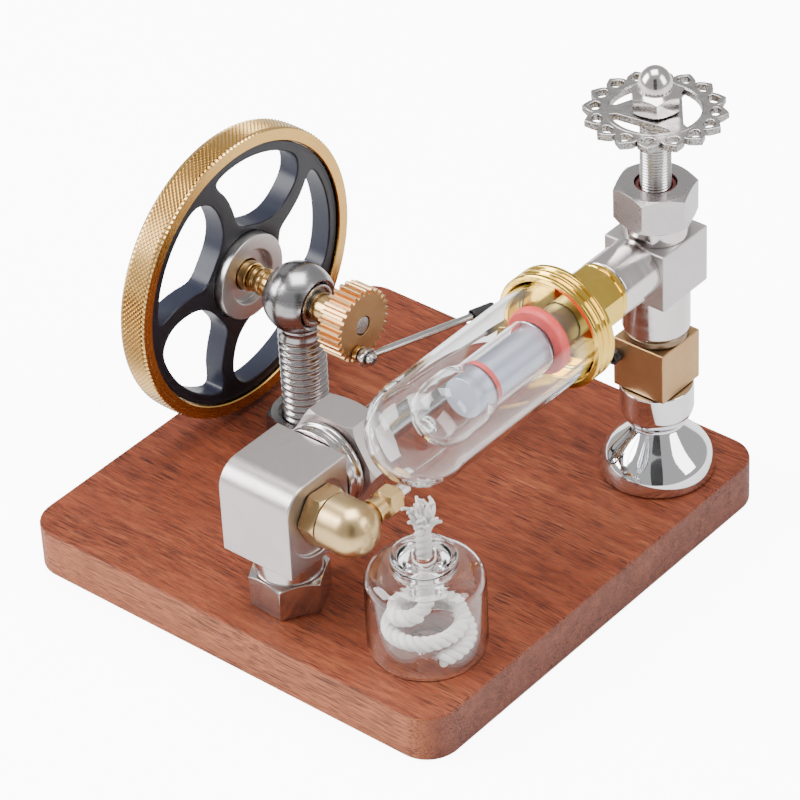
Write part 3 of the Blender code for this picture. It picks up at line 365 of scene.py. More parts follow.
def wood_material():
    made, tree, shader = blank("board_wood")
    place = node(tree, "TexCoord").outputs["Object"]
    wander = noise(tree, node(tree, "Mapping", [("Vector", place), ("Scale", (0.5, 1.0,
                                                                              1.0))]).outputs[0], 18.0, 2.0)
    drift = node(tree, "CombineXYZ", [("Y", spread(tree, wander, 0.0, 1.0, -0.005, 0.005))]).outputs[0]
    bend = node(tree, "VectorMath", [(0, place), (1, drift)], operation="ADD").outputs[0]
    slow = node(tree, "Mapping", [("Vector", bend), ("Scale", (0.13, 1.0, 1.0))]).outputs[0]
    bands = noise(tree, slow, 330.0, 6.0, 0.75)
    broad = noise(tree, slow, 45.0, 2.0, 0.5)
    mix = math_node(tree, "ADD", math_node(tree, "MULTIPLY", bands, 0.72), math_node(tree, "MULTIPLY",
                                                                                     broad, 0.28))
    tone = node(tree, "ValToRGB", [("Fac", mix)])
    ramp = tone.color_ramp
    ramp.elements[0].position, ramp.elements[0].color = 0.34, WOOD_DARK
    ramp.elements[1].position, ramp.elements[1].color = 0.66, WOOD_LIGHT
    ramp.elements.new(0.5).color = WOOD_MIDDLE
    thin = node(tree, "Mapping", [("Vector", bend), ("Scale", (0.038, 1.0, 1.0))]).outputs[0]
    pores = noise(tree, thin, 3000.0, 1.0, 0.5)
    pits = spread(tree, pores, 0.53, 0.61, 0.0, 1.0)
    clusters = spread(tree, noise(tree, slow, 120.0, 2.0), 0.36, 0.60, 0.4, 1.0)
    pits = math_node(tree, "MULTIPLY", pits, clusters, True)
    hairs = spread(tree, noise(tree, thin, 5600.0, 1.0, 0.5), 0.54, 0.62, 0.0, 0.5)
    pits = math_node(tree, "MAXIMUM", pits, hairs)
    flecks = spread(tree, noise(tree, thin, 2000.0, 3.0, 0.7), 0.60, 0.76, 0.0, 0.4)
    # Painted light: the long sides, facing along Y, are painted paler, as if lit from the front; the ends
    # take a greyer, speckled end-grain tone.
    apart = facing(tree)
    front = spread(tree, math_node(tree, "ABSOLUTE", apart["Y"]), 0.55, 0.95, 0.0, 0.55)
    colour = mixed(tree, front, tone.outputs["Color"], WOOD_LIT_FRONT)
    ends = spread(tree, math_node(tree, "ABSOLUTE", apart["X"]), 0.55, 0.95, 0.0, 0.45)
    speck = noise(tree, place, 1500.0, 3.0, 0.7)
    end_tone = mixed(tree, speck, (0.11, 0.050, 0.040, 1), (0.27, 0.135, 0.11, 1))
    colour = mixed(tree, ends, colour, end_tone)
    colour = mixed(tree, math_node(tree, "MULTIPLY", pits, 0.88), colour, WOOD_PORE)
    colour = mixed(tree, flecks, colour, WOOD_FLECK)
    tree.links.new(colour, shader.inputs["Base Color"])
    tree.links.new(spread(tree, bands, 0.2, 0.8, 0.58, 0.46), shader.inputs["Roughness"])
    shader.inputs["Specular IOR Level"].default_value = 0.28
    height = math_node(tree, "ADD", math_node(tree, "MULTIPLY", pits, -1.0), math_node(tree, "MULTIPLY",
                                                                                       bands, 0.25))
    bump(tree, shader, height, 0.00009)
    return made


def paint(name, material):
    """Gives a CAD node its finished material."""
    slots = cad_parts[name].material_slots
    if not slots:
        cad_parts[name].data.materials.append(material)
    for slot in slots:
        slot.material = material


board_wood = wood_material()


def clean(piece, angle=35):
    """Merges doubled points, drops what has no face, and turns all faces outwards."""
    select_only(piece)
    bpy.ops.object.mode_set(mode="EDIT")
    bpy.ops.mesh.select_all(action="SELECT")
    bpy.ops.mesh.remove_doubles(threshold=0.000002)
    bpy.ops.mesh.delete_loose(use_verts=True, use_edges=True, use_faces=False)
    bpy.ops.mesh.select_all(action="SELECT")
    bpy.ops.mesh.normals_make_consistent(inside=False)
    bpy.ops.object.mode_set(mode="OBJECT")
    bpy.ops.object.shade_smooth_by_angle(angle=math.radians(angle))


def apply(piece, kind, **values):
    """Adds a modifier with its settings and applies it."""
    step = piece.modifiers.new(kind.lower(), kind)
    for key, value in values.items():
        setattr(step, key, value)
    select_only(piece)
    bpy.ops.object.modifier_apply(modifier=step.name)


def round_edges(piece, wanted, radius, segments):
    """Rounds the edges whose two ends pass a test."""
    select_only(piece)
    bpy.ops.object.mode_set(mode="EDIT")
    bpy.ops.mesh.select_mode(type="EDGE")
    bpy.ops.mesh.select_all(action="DESELECT")
    bpy.ops.object.mode_set(mode="OBJECT")
    for edge in piece.data.edges:
        one, two = (piece.data.vertices[i].co for i in edge.vertices)
        edge.select = wanted(one, two)
    bpy.ops.object.mode_set(mode="EDIT")
    bpy.ops.mesh.bevel(offset=radius, segments=segments, affect="EDGES")
    bpy.ops.mesh.select_mode(type="VERT")
    bpy.ops.object.mode_set(mode="OBJECT")


def fresh(add, **sizes):
    """A new primitive at the origin, added with nothing selected."""
    bpy.ops.object.select_all(action="DESELECT")
    add(location=(0, 0, 0), **sizes)
    return bpy.context.object


def block_from(node_name):
    """A plain block that fills a CAD node's box."""
    piece = fresh(bpy.ops.mesh.primitive_cube_add, size=1)
    low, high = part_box(node_name)
    for vert in piece.data.vertices:
        vert.co = [l if c < 0 else h for c, l, h in zip(vert.co, low, high)]
    return piece


def ease_edges(piece, width, angle=40):
    """Breaks all edges sharper than an angle; the width is in millimetres."""
    apply(piece, "BEVEL", width=width * MM, segments=3, limit_method="ANGLE",
          angle_limit=math.radians(angle))
    clean(piece, 30)
    return piece


def keep(piece, name, body, material, slot, *nodes, flat=True):
    """Names a finished piece and says what it rides on, is made of and stands for. Round pieces
    that were cut keep their own corner normals, with flat=False."""
    if flat:
        apply(piece, "WEIGHTED_NORMAL", weight=80, keep_sharp=True)
    piece.name = name
    piece.data.name = name
    piece.data.materials.clear()
    piece.data.materials.append(material)
    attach(piece, body)
    if nodes:
        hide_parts(*nodes)


board = block_from("base_board")
round_edges(board, lambda a, b: abs(a.z - b.z) > 1 * MM, BOARD_CORNER, 14)
ease_edges(board, BOARD_EASE, 50)
keep(board, "wooden_board", "engine_frame", board_wood, "wood", "base_board")


# Base screws
# Three steel screws come up through the board into the feet of the column, the cylinder block
# and the valve column. Only their heads show, sunk in the underside.
def metal(name, colour, second, rough, spread_by, patch=60.0, strength=0.5, fine=900.0, depth=0.0,
          axis=None, centre=(0, 0, 0), marks=1400.0):
    """A bare metal. With an axis it also carries the fine rings that turning leaves."""
    made, tree, shader, place, looks = surface(name, colour, second, rough, spread_by, patch, strength,
                                               fine)
    tree.links.new(looks["Colour"], shader.inputs["Base Color"])
    shader.inputs["Metallic"].default_value = 1.0
    if axis is None:
        tree.links.new(looks["Roughness"], shader.inputs["Roughness"])
        if depth:
            bump(tree, shader, looks["Height"], depth)
        return made
    from_axis = node(tree, "VectorMath", [(0, place), (1, centre)], operation="SUBTRACT").outputs[0]
    keep_out = {"X": (0, 1, 1), "Y": (1, 0, 1), "Z": (1, 1, 0)}[axis]
    flat = node(tree, "VectorMath", [(0, from_axis), (1, keep_out)], operation="MULTIPLY").outputs[0]
    out = node(tree, "VectorMath", [(0, flat)], operation="LENGTH").outputs["Value"]
    along = node(tree, "SeparateXYZ", [("Vector", from_axis)]).outputs[axis]
    pair = node(tree, "CombineXYZ", [("X", out), ("Y", along)]).outputs[0]
    rings = noise(tree, pair, marks, 2.0, 0.6)
    rough_rings = math_node(tree, "ADD", looks["Roughness"], spread(tree, rings, 0.3, 0.7, -0.06, 0.06),
                            True)
    tree.links.new(rough_rings, shader.inputs["Roughness"])
    bump(tree, shader, rings, depth or 0.00001)
    return made


steel = metal("ground_steel", (0.56, 0.55, 0.54), (0.44, 0.43, 0.42), 0.28, 0.2, 200.0, 0.6, 2500.0)
for label in ("column", "block", "valve"):
    paint("base_screw_" + label, steel)

CORNER_STEPS = 3
TURNS = {"X": Matrix.Rotation(math.pi / 2, 4, "Y"), "Y": Matrix.Rotation(-math.pi / 2, 4, "X"),
         "Z": Matrix.Identity(4)}


def eased(points, size):
    """The same closed profile with each corner off the axis rounded."""
    found = []
    count = len(points)
    for i, (r, h) in enumerate(points):
        here = Vector((r, h))
        one = Vector(points[i - 1]) - here
        two = Vector(points[(i + 1) % count]) - here
        bent = one.length > 1e-9 and two.length > 1e-9 and abs(math.pi - one.angle(two)) > 0.45
        if r < 1e-7 or not bent:
            found.append((r, h))
            continue
        cut = min(size, one.length * 0.42, two.length * 0.42)
        a, b = here + one.normalized() * cut, here + two.normalized() * cut
        for k in range(CORNER_STEPS + 1):
            t = k / CORNER_STEPS
            mid = (1 - t) ** 2 * a + 2 * t * (1 - t) * here + t * t * b
            found.append((mid.x, mid.y))
    return found


def turned(points, centre, axis="Z", steps=72, ease=0.25, angle=32):
    """A closed profile of (radius, height) in millimetres, spun about the axis through centre."""
    profile = [(r * MM, h * MM) for r, h in points]
    if ease:
        profile = eased(profile, ease * MM)
    piece = fresh(bpy.ops.mesh.primitive_circle_add, vertices=len(profile), radius=1)
    for vert, (r, h) in zip(piece.data.vertices, profile):
        vert.co = (r, 0, h)
    bpy.ops.object.mode_set(mode="EDIT")
    bpy.ops.mesh.select_all(action="SELECT")
    bpy.ops.mesh.spin(steps=steps, angle=2 * math.pi, center=(0, 0, 0), axis=(0, 0, 1), use_auto_merge=True)
    bpy.ops.object.mode_set(mode="OBJECT")
    turn_to = TURNS[axis] if isinstance(axis, str) else axis
    piece.data.transform(Matrix.Translation(centre) @ turn_to)
    clean(piece, angle)
    return piece


def combine(piece, other, how):
    """Joins, trims or cuts a piece with another, which is used up."""
    apply(piece, "BOOLEAN", operation=how, solver="EXACT", object=other)
    gone = other.data
    bpy.data.objects.remove(other, do_unlink=True)
    bpy.data.meshes.remove(gone)
    return piece


def nut(across, start, points, centre, axis="Z", sides=6, ease=0.2):
    """A bar with flats, trimmed by a turned profile that gives its chamfers and its hole."""
    high = max(h for _, h in points) + 0.5
    low = min(h for _, h in points) - 0.5
    trim = turned(points, centre, axis, 96, 0)
    piece = fresh(bpy.ops.mesh.primitive_cylinder_add, vertices=sides, radius=across * MM,
                  depth=(high - low) * MM)
    first = piece.data.vertices[0].co
    spin = math.radians(start) - math.atan2(first.y, first.x)
    lift = Matrix.Translation((0, 0, (high + low) / 2 * MM))
    piece.data.transform(Matrix.Translation(centre) @ TURNS[axis] @ lift @ Matrix.Rotation(spin, 4, "Z"))
    combine(piece, trim, "INTERSECT")
    clean(piece)
    apply(piece, "BEVEL", width=ease * MM, segments=2, limit_method="ANGLE",
          angle_limit=math.radians(25), use_clamp_overlap=True)
    clean(piece, 30)
    return piece


# Bearing column
# A nickel-plated M14 stud turned in one piece with a ball-shaped bearing housing. Its coarse
# thread screws down through a low hexagon nut that stands on the board.
SHAFT = (-39 * MM, 6.5 * MM, 61.5 * MM)
BALL_R = 10.7
BALL_ANGLE = 139.1
STUD_R = 7.0
nickel = metal("nickel_plate", (0.62, 0.58, 0.57), (0.50, 0.46, 0.45), 0.16, 0.12, 90.0, 0.5, 1200.0)
ball_steel = metal("ball_steel", (0.40, 0.39, 0.40), (0.30, 0.29, 0.30), 0.24, 0.12, 120.0, 0.5, 1200.0,
                   0.000006, "Z", SHAFT, marks=900.0)
stud_steel = metal("stud_steel", (0.43, 0.41, 0.41), (0.32, 0.30, 0.30), 0.25, 0.14, 200.0, 0.5, 2200.0)


def arc(out, up, wide, tall, angles):
    """Points of a profile round (out, up), at angles in degrees from the top."""
    return [(out + wide * math.sin(math.radians(a)), up + tall * math.cos(math.radians(a))) for a in angles]


def threaded(radius, deep, pitch, low, high, centre, around=64, per_turn=10):
    """A screwed rod, all in millimetres, from a grid whose columns wrap round the axis."""
    rows = max(4, int((high - low) / pitch * per_turn))
    piece = fresh(bpy.ops.mesh.primitive_grid_add, x_subdivisions=around, y_subdivisions=rows + 4, size=1)
    wide = around + 1
    for i, vert in enumerate(piece.data.vertices):
        column, row = i % wide, i // wide
        a = 2 * math.pi * (column % around) / around
        t = min(max((row - 2) / rows, 0), 1)
        h = low + (high - low) * t
        phase = (h / pitch - a / (2 * math.pi)) % 1
        ridge = min(abs(phase - 0.5) * 2, 1)
        fade = min(1, min(h - low, high - h) / (pitch * 0.35) + 0.05)
        r = radius - deep * (0.5 + 0.5 * math.cos(math.pi * ridge)) ** 1.3 * fade
        r = 0 if row in (0, rows + 4) else r - 0.4 * deep if row in (1, rows + 3) else r
        vert.co = (r * MM * math.cos(a), r * MM * math.sin(a), h * MM)
    piece.data.transform(Matrix.Translation(centre))
    clean(piece, 70)
    return piece


ball = [(0, BALL_R)] + arc(0, 0, BALL_R, BALL_R, [i * BALL_ANGLE / 24 for i in range(1, 25)])
ball += [(7.1, -8.6), (6.6, -9.6), (6.5, -10.4), (6.9, -11.4), (6.9, -12.4), (0, -12.4)]
housing = turned(ball, SHAFT, "Z", 96, 0, 40)
seat = [(0, 13), (13, 13), (13, 7.2), (7.6, 7.2), (6.8, 6.5), (6.8, 3.2), (2.9, 3.2), (2.9, -3.2),
        (6.8, -3.2), (6.8, -6.5), (7.6, -7.2), (13, -7.2), (13, -13), (0, -13)]
combine(housing, turned(seat, SHAFT, "X", 96, 0), "DIFFERENCE")
clean(housing)
clean(housing, 40)
keep(housing, "bearing_ball", "engine_frame", ball_steel, "nickel", "bearing_column", flat=False)
stud = threaded(STUD_R, 0.95, 2.35, 15.3, 49.6, (SHAFT[0], SHAFT[1], 0))
keep(stud, "threaded_stud", "engine_frame", stud_steel, "nickel")
foot = nut(12.0, 41, [(10.4, 21.5), (12.3, 20.3), (12.3, 15.3), (7.3, 15.3), (7.3, 20.4), (8.4, 21.5)],
           (SHAFT[0], SHAFT[1], 0))
keep(foot, "column_foot", "engine_frame", stud_steel, "nickel", "column_foot_nut")


# Ball bearings
# Two small shielded bearings sit in the flats of the ball housing, one on each side. Each has
# an outer ring, a set-back steel shield and an inner ring that turns with the shaft.
shield_steel = metal("bearing_shield", (0.30, 0.29, 0.28), (0.20, 0.19, 0.18), 0.35, 0.15, 300.0)
for label, way in (("wheel", -1), ("gear", 1)):
    outer = turned([(6.45, 7.15), (6.45, 3.5), (5.3, 3.5), (5.3, 7.15)], SHAFT, "X", 72, 0.3)
    inner = turned([(4.0, 7.15), (4.0, 3.5), (2.85, 3.5), (2.85, 7.15)], SHAFT, "X", 60, 0.25)
    shield = turned([(5.25, 6.6), (5.25, 6.3), (4.1, 6.3), (4.1, 6.6)], SHAFT, "X", 60, 0)
    if way < 0:
        flip = Matrix.Translation(SHAFT) @ Matrix.Scale(-1, 4, (1, 0,
                                                                0)) @ Matrix.Translation(-Vector(SHAFT))
        for piece in (outer, inner, shield):
            piece.data.transform(flip)
            clean(piece, 32)
    keep(outer, "bearing_ring_" + label, "engine_frame", steel, "steel", "bearing_outer_" + label)
    keep(inner, "bearing_race_" + label, "crankshaft", steel, "steel", "bearing_inner_" + label)
    keep(shield, "bearing_shield_" + label, "engine_frame", shield_steel, "steel")


# Flywheel
# A heavy brass ring, diamond knurled on its tread and faced bright, is pressed on a blue-black
# anodised aluminium spider with five curved spokes. A turned hub and bush hold it to the shaft.
WHEEL_R = 45.0
RIM_INNER = 40.8
TREAD_FROM = 44.3 * MM
SPOKES = 5
knurl_brass = metal("knurled_brass", (0.78, 0.52, 0.20), (0.56, 0.34, 0.11), 0.22, 0.15, 120.0, 0.5, 2500.0)
ring_brass = metal("faced_brass", (0.70, 0.42, 0.12), (0.56, 0.31, 0.08), 0.25, 0.1, 60.0, 0.5, 900.0,
                   0.000004, "X", SHAFT, marks=1500.0)


def knurled_rim(inner, outer, low, high, centre, cells=180, rows=11, deep=0.5):
    """A ring whose tread is cut into small four-sided points by crossing diagonal grooves."""
    around = cells * 2
    wide = high - low
    edge = 0.55
    heights = [low + edge + (wide - 2 * edge) * i / rows for i in range(rows + 1)]
    loop = [(inner, low + 0.25), (inner + 0.25, low), (outer - edge, low)]
    tread = len(loop)
    loop += [(outer, h) for h in heights]
    loop += [(outer - edge, high), (inner + 0.25, high), (inner, high - 0.25)]
    verts, faces = [], []
    for i in range(around):
        a = 2 * math.pi * i / around
        for j, (r, h) in enumerate(loop):
            k = j - tread
            valley = 0 <= k <= rows and (i + k) % 2
            r = r - (deep if valley else 0)
            r = r - (0.15 if k in (0, rows) else 0)
            verts.append((h * MM, r * MM * math.cos(a), r * MM * math.sin(a)))
    size = len(loop)
    for i in range(around):
        n = (i + 1) % around
        for j in range(size):
            m = (j + 1) % size
            a, b, c, d = i * size + j, n * size + j, n * size + m, i * size + m
            if tread <= j < tread + rows:
                if (i + j - tread) % 2:
                    faces += [(a, b, c), (a, c, d)]
                else:
                    faces += [(a, b, d), (b, c, d)]
            else:
                faces.append((a, b, c, d))
    mesh = bpy.data.meshes.new("rim")
    mesh.from_pydata(verts, [], faces)
    mesh.transform(Matrix.Translation(centre))
    made = bpy.data.objects.new("rim", mesh)
    bpy.context.collection.objects.link(made)
    clean(made, 12)
    return made


rim = knurled_rim(RIM_INNER, WHEEL_R, -28.3, -19.3, SHAFT)
keep(rim, "flywheel_ring", "crankshaft", ring_brass, "brass", "flywheel_rim")
rim.data.materials.append(knurl_brass)
for face in rim.data.polygons:
    middle = face.center - Vector(SHAFT)
    out = math.hypot(middle.y, middle.z)
    face.material_index = 1 if out > TREAD_FROM else 0


def plate(outlines, low, high, centre, axis, ease, smooth=True, angle=30):
    """A flat plate: the first outline is its edge and the others are holes, in millimetres."""
    drawing = bpy.data.curves.new("plate", "CURVE")
    drawing.dimensions = "2D"
    drawing.fill_mode = "BOTH"
    drawing.resolution_u = 6
    for outline in outlines:
        line = drawing.splines.new("NURBS" if smooth else "POLY")
        line.points.add(len(outline) - 1)
        for point, (x, y) in zip(line.points, outline):
            point.co = (x * MM, y * MM, 0, 1)
        if smooth:
            line.order_u = 3
        line.use_cyclic_u = True
    drawing.extrude = ((high - low) / 2 - ease) * MM
    drawing.bevel_depth = ease * MM
    drawing.bevel_resolution = 2
    drawing.offset = -ease * MM
    made = bpy.data.objects.new("plate", drawing)
    bpy.context.collection.objects.link(made)
    select_only(made)
    bpy.ops.object.convert(target="MESH")
    piece = bpy.context.object
    lift = Matrix.Translation((0, 0, (low + high) / 2 * MM))
    piece.data.transform(Matrix.Translation(centre) @ TURNS[axis] @ lift)
    clean(piece, angle)
    return piece


def ring_outline(radius, count=96):
    return [(radius * math.cos(2 * math.pi * i / count), radius * math.sin(2 * math.pi * i / count))
            for i in range(count)]


gap = [(36.6, 104.5), (37.4, 100), (37.5, 90), (37.5, 80), (37.5, 70), (37.5, 60), (37.4, 51), (36.2, 45.5),
       (32.6, 40), (28.0, 38), (23, 38.5), (19.4, 42), (16.6, 51), (15.4, 62), (15.3, 75), (16.0, 88),
       (18, 95.5), (23.5, 97), (29.5, 100.0), (34, 104)]
gaps = []
for k in range(SPOKES):
    turned_by = 360 // SPOKES * k
    gaps.append([(-r * math.sin(math.radians(a + turned_by)), r * math.cos(math.radians(a + turned_by)))
                 for r, a in gap])


def anodised_material():
    made, tree, shader, _, looks = surface(
        "blue_black_anodised", (0.006, 0.0065, 0.010), (0.010, 0.011, 0.020), 0.36, 0.12, 60.0, 0.7, 2600.0)
    # Painted sheen: the spoke and rim walls, which do not face along the shaft, are painted a lighter blue
    # than the flat faces.
    wall = spread(tree, math_node(tree, "ABSOLUTE", facing(tree)["X"]), 0.1, 0.8, 1.0, 0.0)
    colour = mixed(tree, wall, looks["Colour"], (0.016, 0.019, 0.038, 1))
    tree.links.new(colour, shader.inputs["Base Color"])
    tree.links.new(looks["Roughness"], shader.inputs["Roughness"])
    shader.inputs["Specular IOR Level"].default_value = 0.4
    bump(tree, shader, looks["Height"], 0.000015)
    return made


anodised = anodised_material()
spider = plate([ring_outline(40.5), ring_outline(13.5, 64)] + gaps, -27.3, -20.3, SHAFT, "X", 0.45)
keep(spider, "flywheel_spider_plate", "crankshaft", anodised, "black_metal", "flywheel_spider")
# A shallow turned step on the spider's outer band.
lip = turned([(40.4, -20.25), (40.4, -20.6), (39.5, -20.6), (39.5, -20.25)], SHAFT, "X", 96, 0.1)
keep(lip, "flywheel_spider_lip", "crankshaft", anodised, "black_metal")

turned_alu = metal("turned_aluminium", (0.60, 0.58, 0.57), (0.50, 0.48, 0.47), 0.34, 0.1, 60.0, 0.4, 900.0,
                   0.00002, "X", SHAFT, marks=1300.0)
hub = turned([(13.2, -17.5), (13.2, -27.3), (4.8, -27.3), (4.8, -19.8), (8.5, -19.8), (8.5, -17.5)],
             SHAFT, "X", 96, 0.4)
keep(hub, "flywheel_hub_disc", "crankshaft", turned_alu, "aluminium", "flywheel_hub")
brass = metal("turned_brass", (0.74, 0.50, 0.22), (0.58, 0.36, 0.14), 0.2, 0.12, 150.0, 0.5, 1800.0)
bush = turned([(4.5, -17.1), (4.5, -27.3), (2.8, -27.3), (2.8, -17.1)], SHAFT, "X", 60, 0.35)
keep(bush, "flywheel_bush", "crankshaft", brass, "brass", "hub_bush")
spacer = turned([(4.2, -7.5), (4.2, -9.1), (3.3, -9.1), (3.3, -12.2), (4.2, -12.2), (4.2, -13.7),
                 (3.3, -13.7), (3.3, -15.4), (3.9, -15.4), (3.9, -16.8), (2.8, -16.8), (2.8, -7.5)],
                 SHAFT, "X", 60, 0.3)
keep(spacer, "grooved_spacer", "crankshaft", brass, "brass", "shaft_spacer")


# Crankshaft and crank gear
# A 5 mm ground steel shaft carries the wheel on one side and, past a brass spacer, a brass gear
# wheel used as the crank disc. The gear's end is sawn flat and dull; its teeth are bright.
shaft = turned([(0, 23.8), (2.68, 23.8), (2.68, 17.2), (2.5, 17.2), (2.5, -26.3), (0, -26.3)], SHAFT,
               "X", 48, 0.2)
keep(shaft, "steel_shaft", "crankshaft", steel, "steel", "crankshaft")
sleeve = turned([(4.5, 15.9), (4.5, 7.5), (2.8, 7.5), (2.8, 15.9)], SHAFT, "X", 60, 0.35)
keep(sleeve, "gear_sleeve", "crankshaft", brass, "brass", "gear_spacer")
PIN = (-39 * MM, 2.7975 * MM, 54.2957 * MM)


def gear_face_material():
    made, tree, shader, _, looks = surface(
        "gear_brass", (0.46, 0.27, 0.13), (0.38, 0.20, 0.085), 0.55, 0.12, 120.0, 0.6, 3500.0)
    end = spread(tree, math_node(tree, "ABSOLUTE", facing(tree)["X"]), 0.7, 0.9, 0.0, 1.0)
    colour = mixed(tree, end, (0.74, 0.46, 0.22, 1), looks["Colour"])
    tree.links.new(colour, shader.inputs["Base Color"])
    tree.links.new(spread(tree, end, 0.0, 1.0, 0.3, 0.55), shader.inputs["Roughness"])
    shader.inputs["Metallic"].default_value = 1.0
    bump(tree, shader, looks["Height"], 0.00003)
    return made


TEETH = 28
teeth = []
for i in range(TEETH):
    for radius, offset in ((9.7, -1.8), (9.7, -1.3), (10.5, -1.1), (11.0, -0.85), (11.2, -0.6), (11.2, 0.6),
                           (11.0, 0.85), (10.5, 1.1), (9.7, 1.3), (9.7, 1.8)):
        a = 2 * math.pi * (i + offset / 4) / TEETH
        teeth.append((radius * math.cos(a), radius * math.sin(a)))
crank_y, crank_z = (PIN[1] - SHAFT[1]) / MM, (PIN[2] - SHAFT[2]) / MM
pin_hole = [(-crank_z + 1.3 * math.cos(2 * math.pi * i / 24),
             crank_y + 1.3 * math.sin(2 * math.pi * i / 24))
            for i in range(24)]
gear = plate([teeth, ring_outline(3.0, 48), pin_hole], 16.2, 24.1, SHAFT, "X", 0.12, False, 25)
gear_brass = gear_face_material()
keep(gear, "crank_gear_wheel", "crankshaft", gear_brass, "brass", "crank_gear")


# Crank pin and connecting rod
# A small cross-head screw runs through a steel collar and a brass washer into the gear. The
# rod's eye turns on it, and its bar is pushed into a black moulded end at the piston.
washer = turned([(2.4, 25.8), (2.4, 24.4), (1.3, 24.4), (1.3, 25.8)], PIN, "X", 40, 0.25)
keep(washer, "crank_washer", "crankshaft", brass, "brass", "pin_washer")
collar = turned([(2.1, 27.3), (2.1, 26.1), (1.3, 26.1), (1.3, 27.3)], PIN, "X", 40, 0.2)
keep(collar, "crank_collar", "crankshaft", steel, "steel", "pin_collar")
screw = turned([(0, 31.0), (1.1, 30.9), (1.9, 30.2), (1.9, 29.1), (1.0, 29.1), (1.0, 22.1), (0, 22.1)],
               PIN, "X", 48, 0.15)
for slot_turn in (0.5, 0.5 + math.pi / 2):
    slot_cut = fresh(bpy.ops.mesh.primitive_cube_add, size=1)
    slot_cut.data.transform(Matrix.Translation(Vector(PIN) + Vector((30.9 * MM, 0, 0)))
                            @ Matrix.Rotation(slot_turn, 4, "X") @ Matrix.Diagonal((0.0016, 0.0026,
                                                                                    0.0005, 1)))
    combine(screw, slot_cut, "DIFFERENCE")
clean(screw, 30)
keep(screw, "crank_screw", "crankshaft", steel, "steel", "crank_pin")

rod_steel = metal("rod_steel", (0.60, 0.59, 0.58), (0.48, 0.46, 0.45), 0.2, 0.12, 200.0, 0.5, 2500.0)
eye = turned([(2.95, 28.8), (2.95, 27.6), (1.3, 27.6), (1.3, 28.8)], PIN, "X", 48, 0.2)
rod_from = Vector((-10.8 * MM, PIN[1], PIN[2]))
rod_to = Vector((-1.9 * MM, 44.0 * MM, 50.3 * MM))
flat = Vector((0, rod_to.y - rod_from.y, rod_to.z - rod_from.z)).normalized()
bar_from = rod_from + flat * 2.7 * MM + Vector((0.2 * MM, 0, 0))
run = (rod_to - bar_from).normalized()
bar_length = (rod_to - bar_from).length / MM
tilt = run.to_track_quat("Z", "Y").to_matrix().to_4x4()
bar = turned([(0, bar_length), (1.1, bar_length), (1.1, 0), (0, 0)], bar_from, tilt, 40, 0.3)
keep(eye, "rod_eye", "connecting_rod", rod_steel, "steel", "connecting_rod")
keep(bar, "rod_bar", "connecting_rod", rod_steel, "steel")


def plastic(name, colour, rough):
    second = tuple(c * 1.5 + 0.005 for c in colour)
    made, tree, shader, _, looks = surface(name, colour, second, rough, 0.15, 150.0, 0.5, 3000.0)
    tree.links.new(looks["Colour"], shader.inputs["Base Color"])
    tree.links.new(looks["Roughness"], shader.inputs["Roughness"])
    bump(tree, shader, looks["Height"], 0.00003)
    return made


black_plastic = plastic("black_moulding", (0.012, 0.012, 0.013), 0.42)
end_low, end_high = bar_length - 4, bar_length + 4
cap = turned([(0, end_high), (2.0, end_high), (2.0, end_low), (1.4, end_low), (1.4, bar_length + 0.3),
              (0, bar_length + 0.3)], bar_from, tilt, 40, 0.6)
keep(cap, "rod_end_moulding", "connecting_rod", black_plastic, "black_plastic", "rod_end")


# Power cylinder
# A square nickel-plated block stands on a hexagon foot. A round neck and a large hexagon nut
# clamp the ground steel barrel to it, and the piston's tail rod comes out at the far end.
BLOCK = (8.1 * MM, -55.6 * MM, 0)
AXIS = (8.1 * MM, 0, 50.3 * MM)
BLOCK_ROUND = 7.5 * MM


def block_material():
    made, tree, shader, place, looks = surface(
        "satin_nickel_block", (0.60, 0.55, 0.54), (0.50, 0.45, 0.44), 0.33, 0.1, 70.0, 0.5, 1500.0)
    stretch = node(tree, "Mapping", [("Vector", place), ("Scale", (1.0, 8.0, 8.0))]).outputs[0]
    lines = noise(tree, stretch, 420.0, 3.0, 0.7)
    tree.links.new(looks["Colour"], shader.inputs["Base Color"])
    rough = math_node(tree, "ADD", looks["Roughness"], spread(tree, lines, 0.3, 0.7, -0.05, 0.05), True)
    tree.links.new(rough, shader.inputs["Roughness"])
    shader.inputs["Metallic"].default_value = 1.0
    bump(tree, shader, lines, 0.000012)
    return made


satin_nickel = block_material()
block = block_from("cylinder_block")
low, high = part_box("cylinder_block")
# Only the top front edge is rounded.
round_edges(block, lambda a, b: max(a.y, b.y) < low[1] + 0.1 * MM and min(a.z, b.z) > high[2] - 0.1 * MM,
            BLOCK_ROUND, 14)
recess = turned([(0, 13), (11.4, 13), (11.4, 11.35), (0, 11.35)], (BLOCK[0], BLOCK[1], 47.9 * MM), "X",
                96, 0)
combine(block, recess, "DIFFERENCE")
ease_edges(block, 0.4)
keep(block, "cylinder_block_body", "engine_frame", satin_nickel, "nickel", "cylinder_block")

hex_foot = nut(11.8, -3.4, [(0, 33.6), (9.5, 33.6), (9.5, 25.9), (10.1, 25.8), (12.6, 24.2), (12.6, 15.3),
                            (0, 15.3)], BLOCK, "Z")
keep(hex_foot, "block_hex_foot", "engine_frame", nickel, "nickel", "block_foot")
neck = turned([(11.6, -36.1), (13.0, -37.2), (13.0, -38.3), (12.1, -38.8), (12.1, -40.2), (13.0, -40.8),
               (13.0, -42.7),
               (6.3, -42.7), (6.3, -36.1)], AXIS, "Y", 96, 0.4)
keep(neck, "cylinder_neck_ring", "engine_frame", nickel, "nickel", "cylinder_neck")
big_nut = nut(15.5, 0, [(6.3, -24.8), (13.5, -24.8), (16.2, -26.4), (16.2, -34.3), (14.2, -35.8),
                        (6.3, -35.8)],
              AXIS, "Y")
keep(big_nut, "cylinder_hex_nut", "engine_frame", satin_nickel, "nickel", "cylinder_nut")
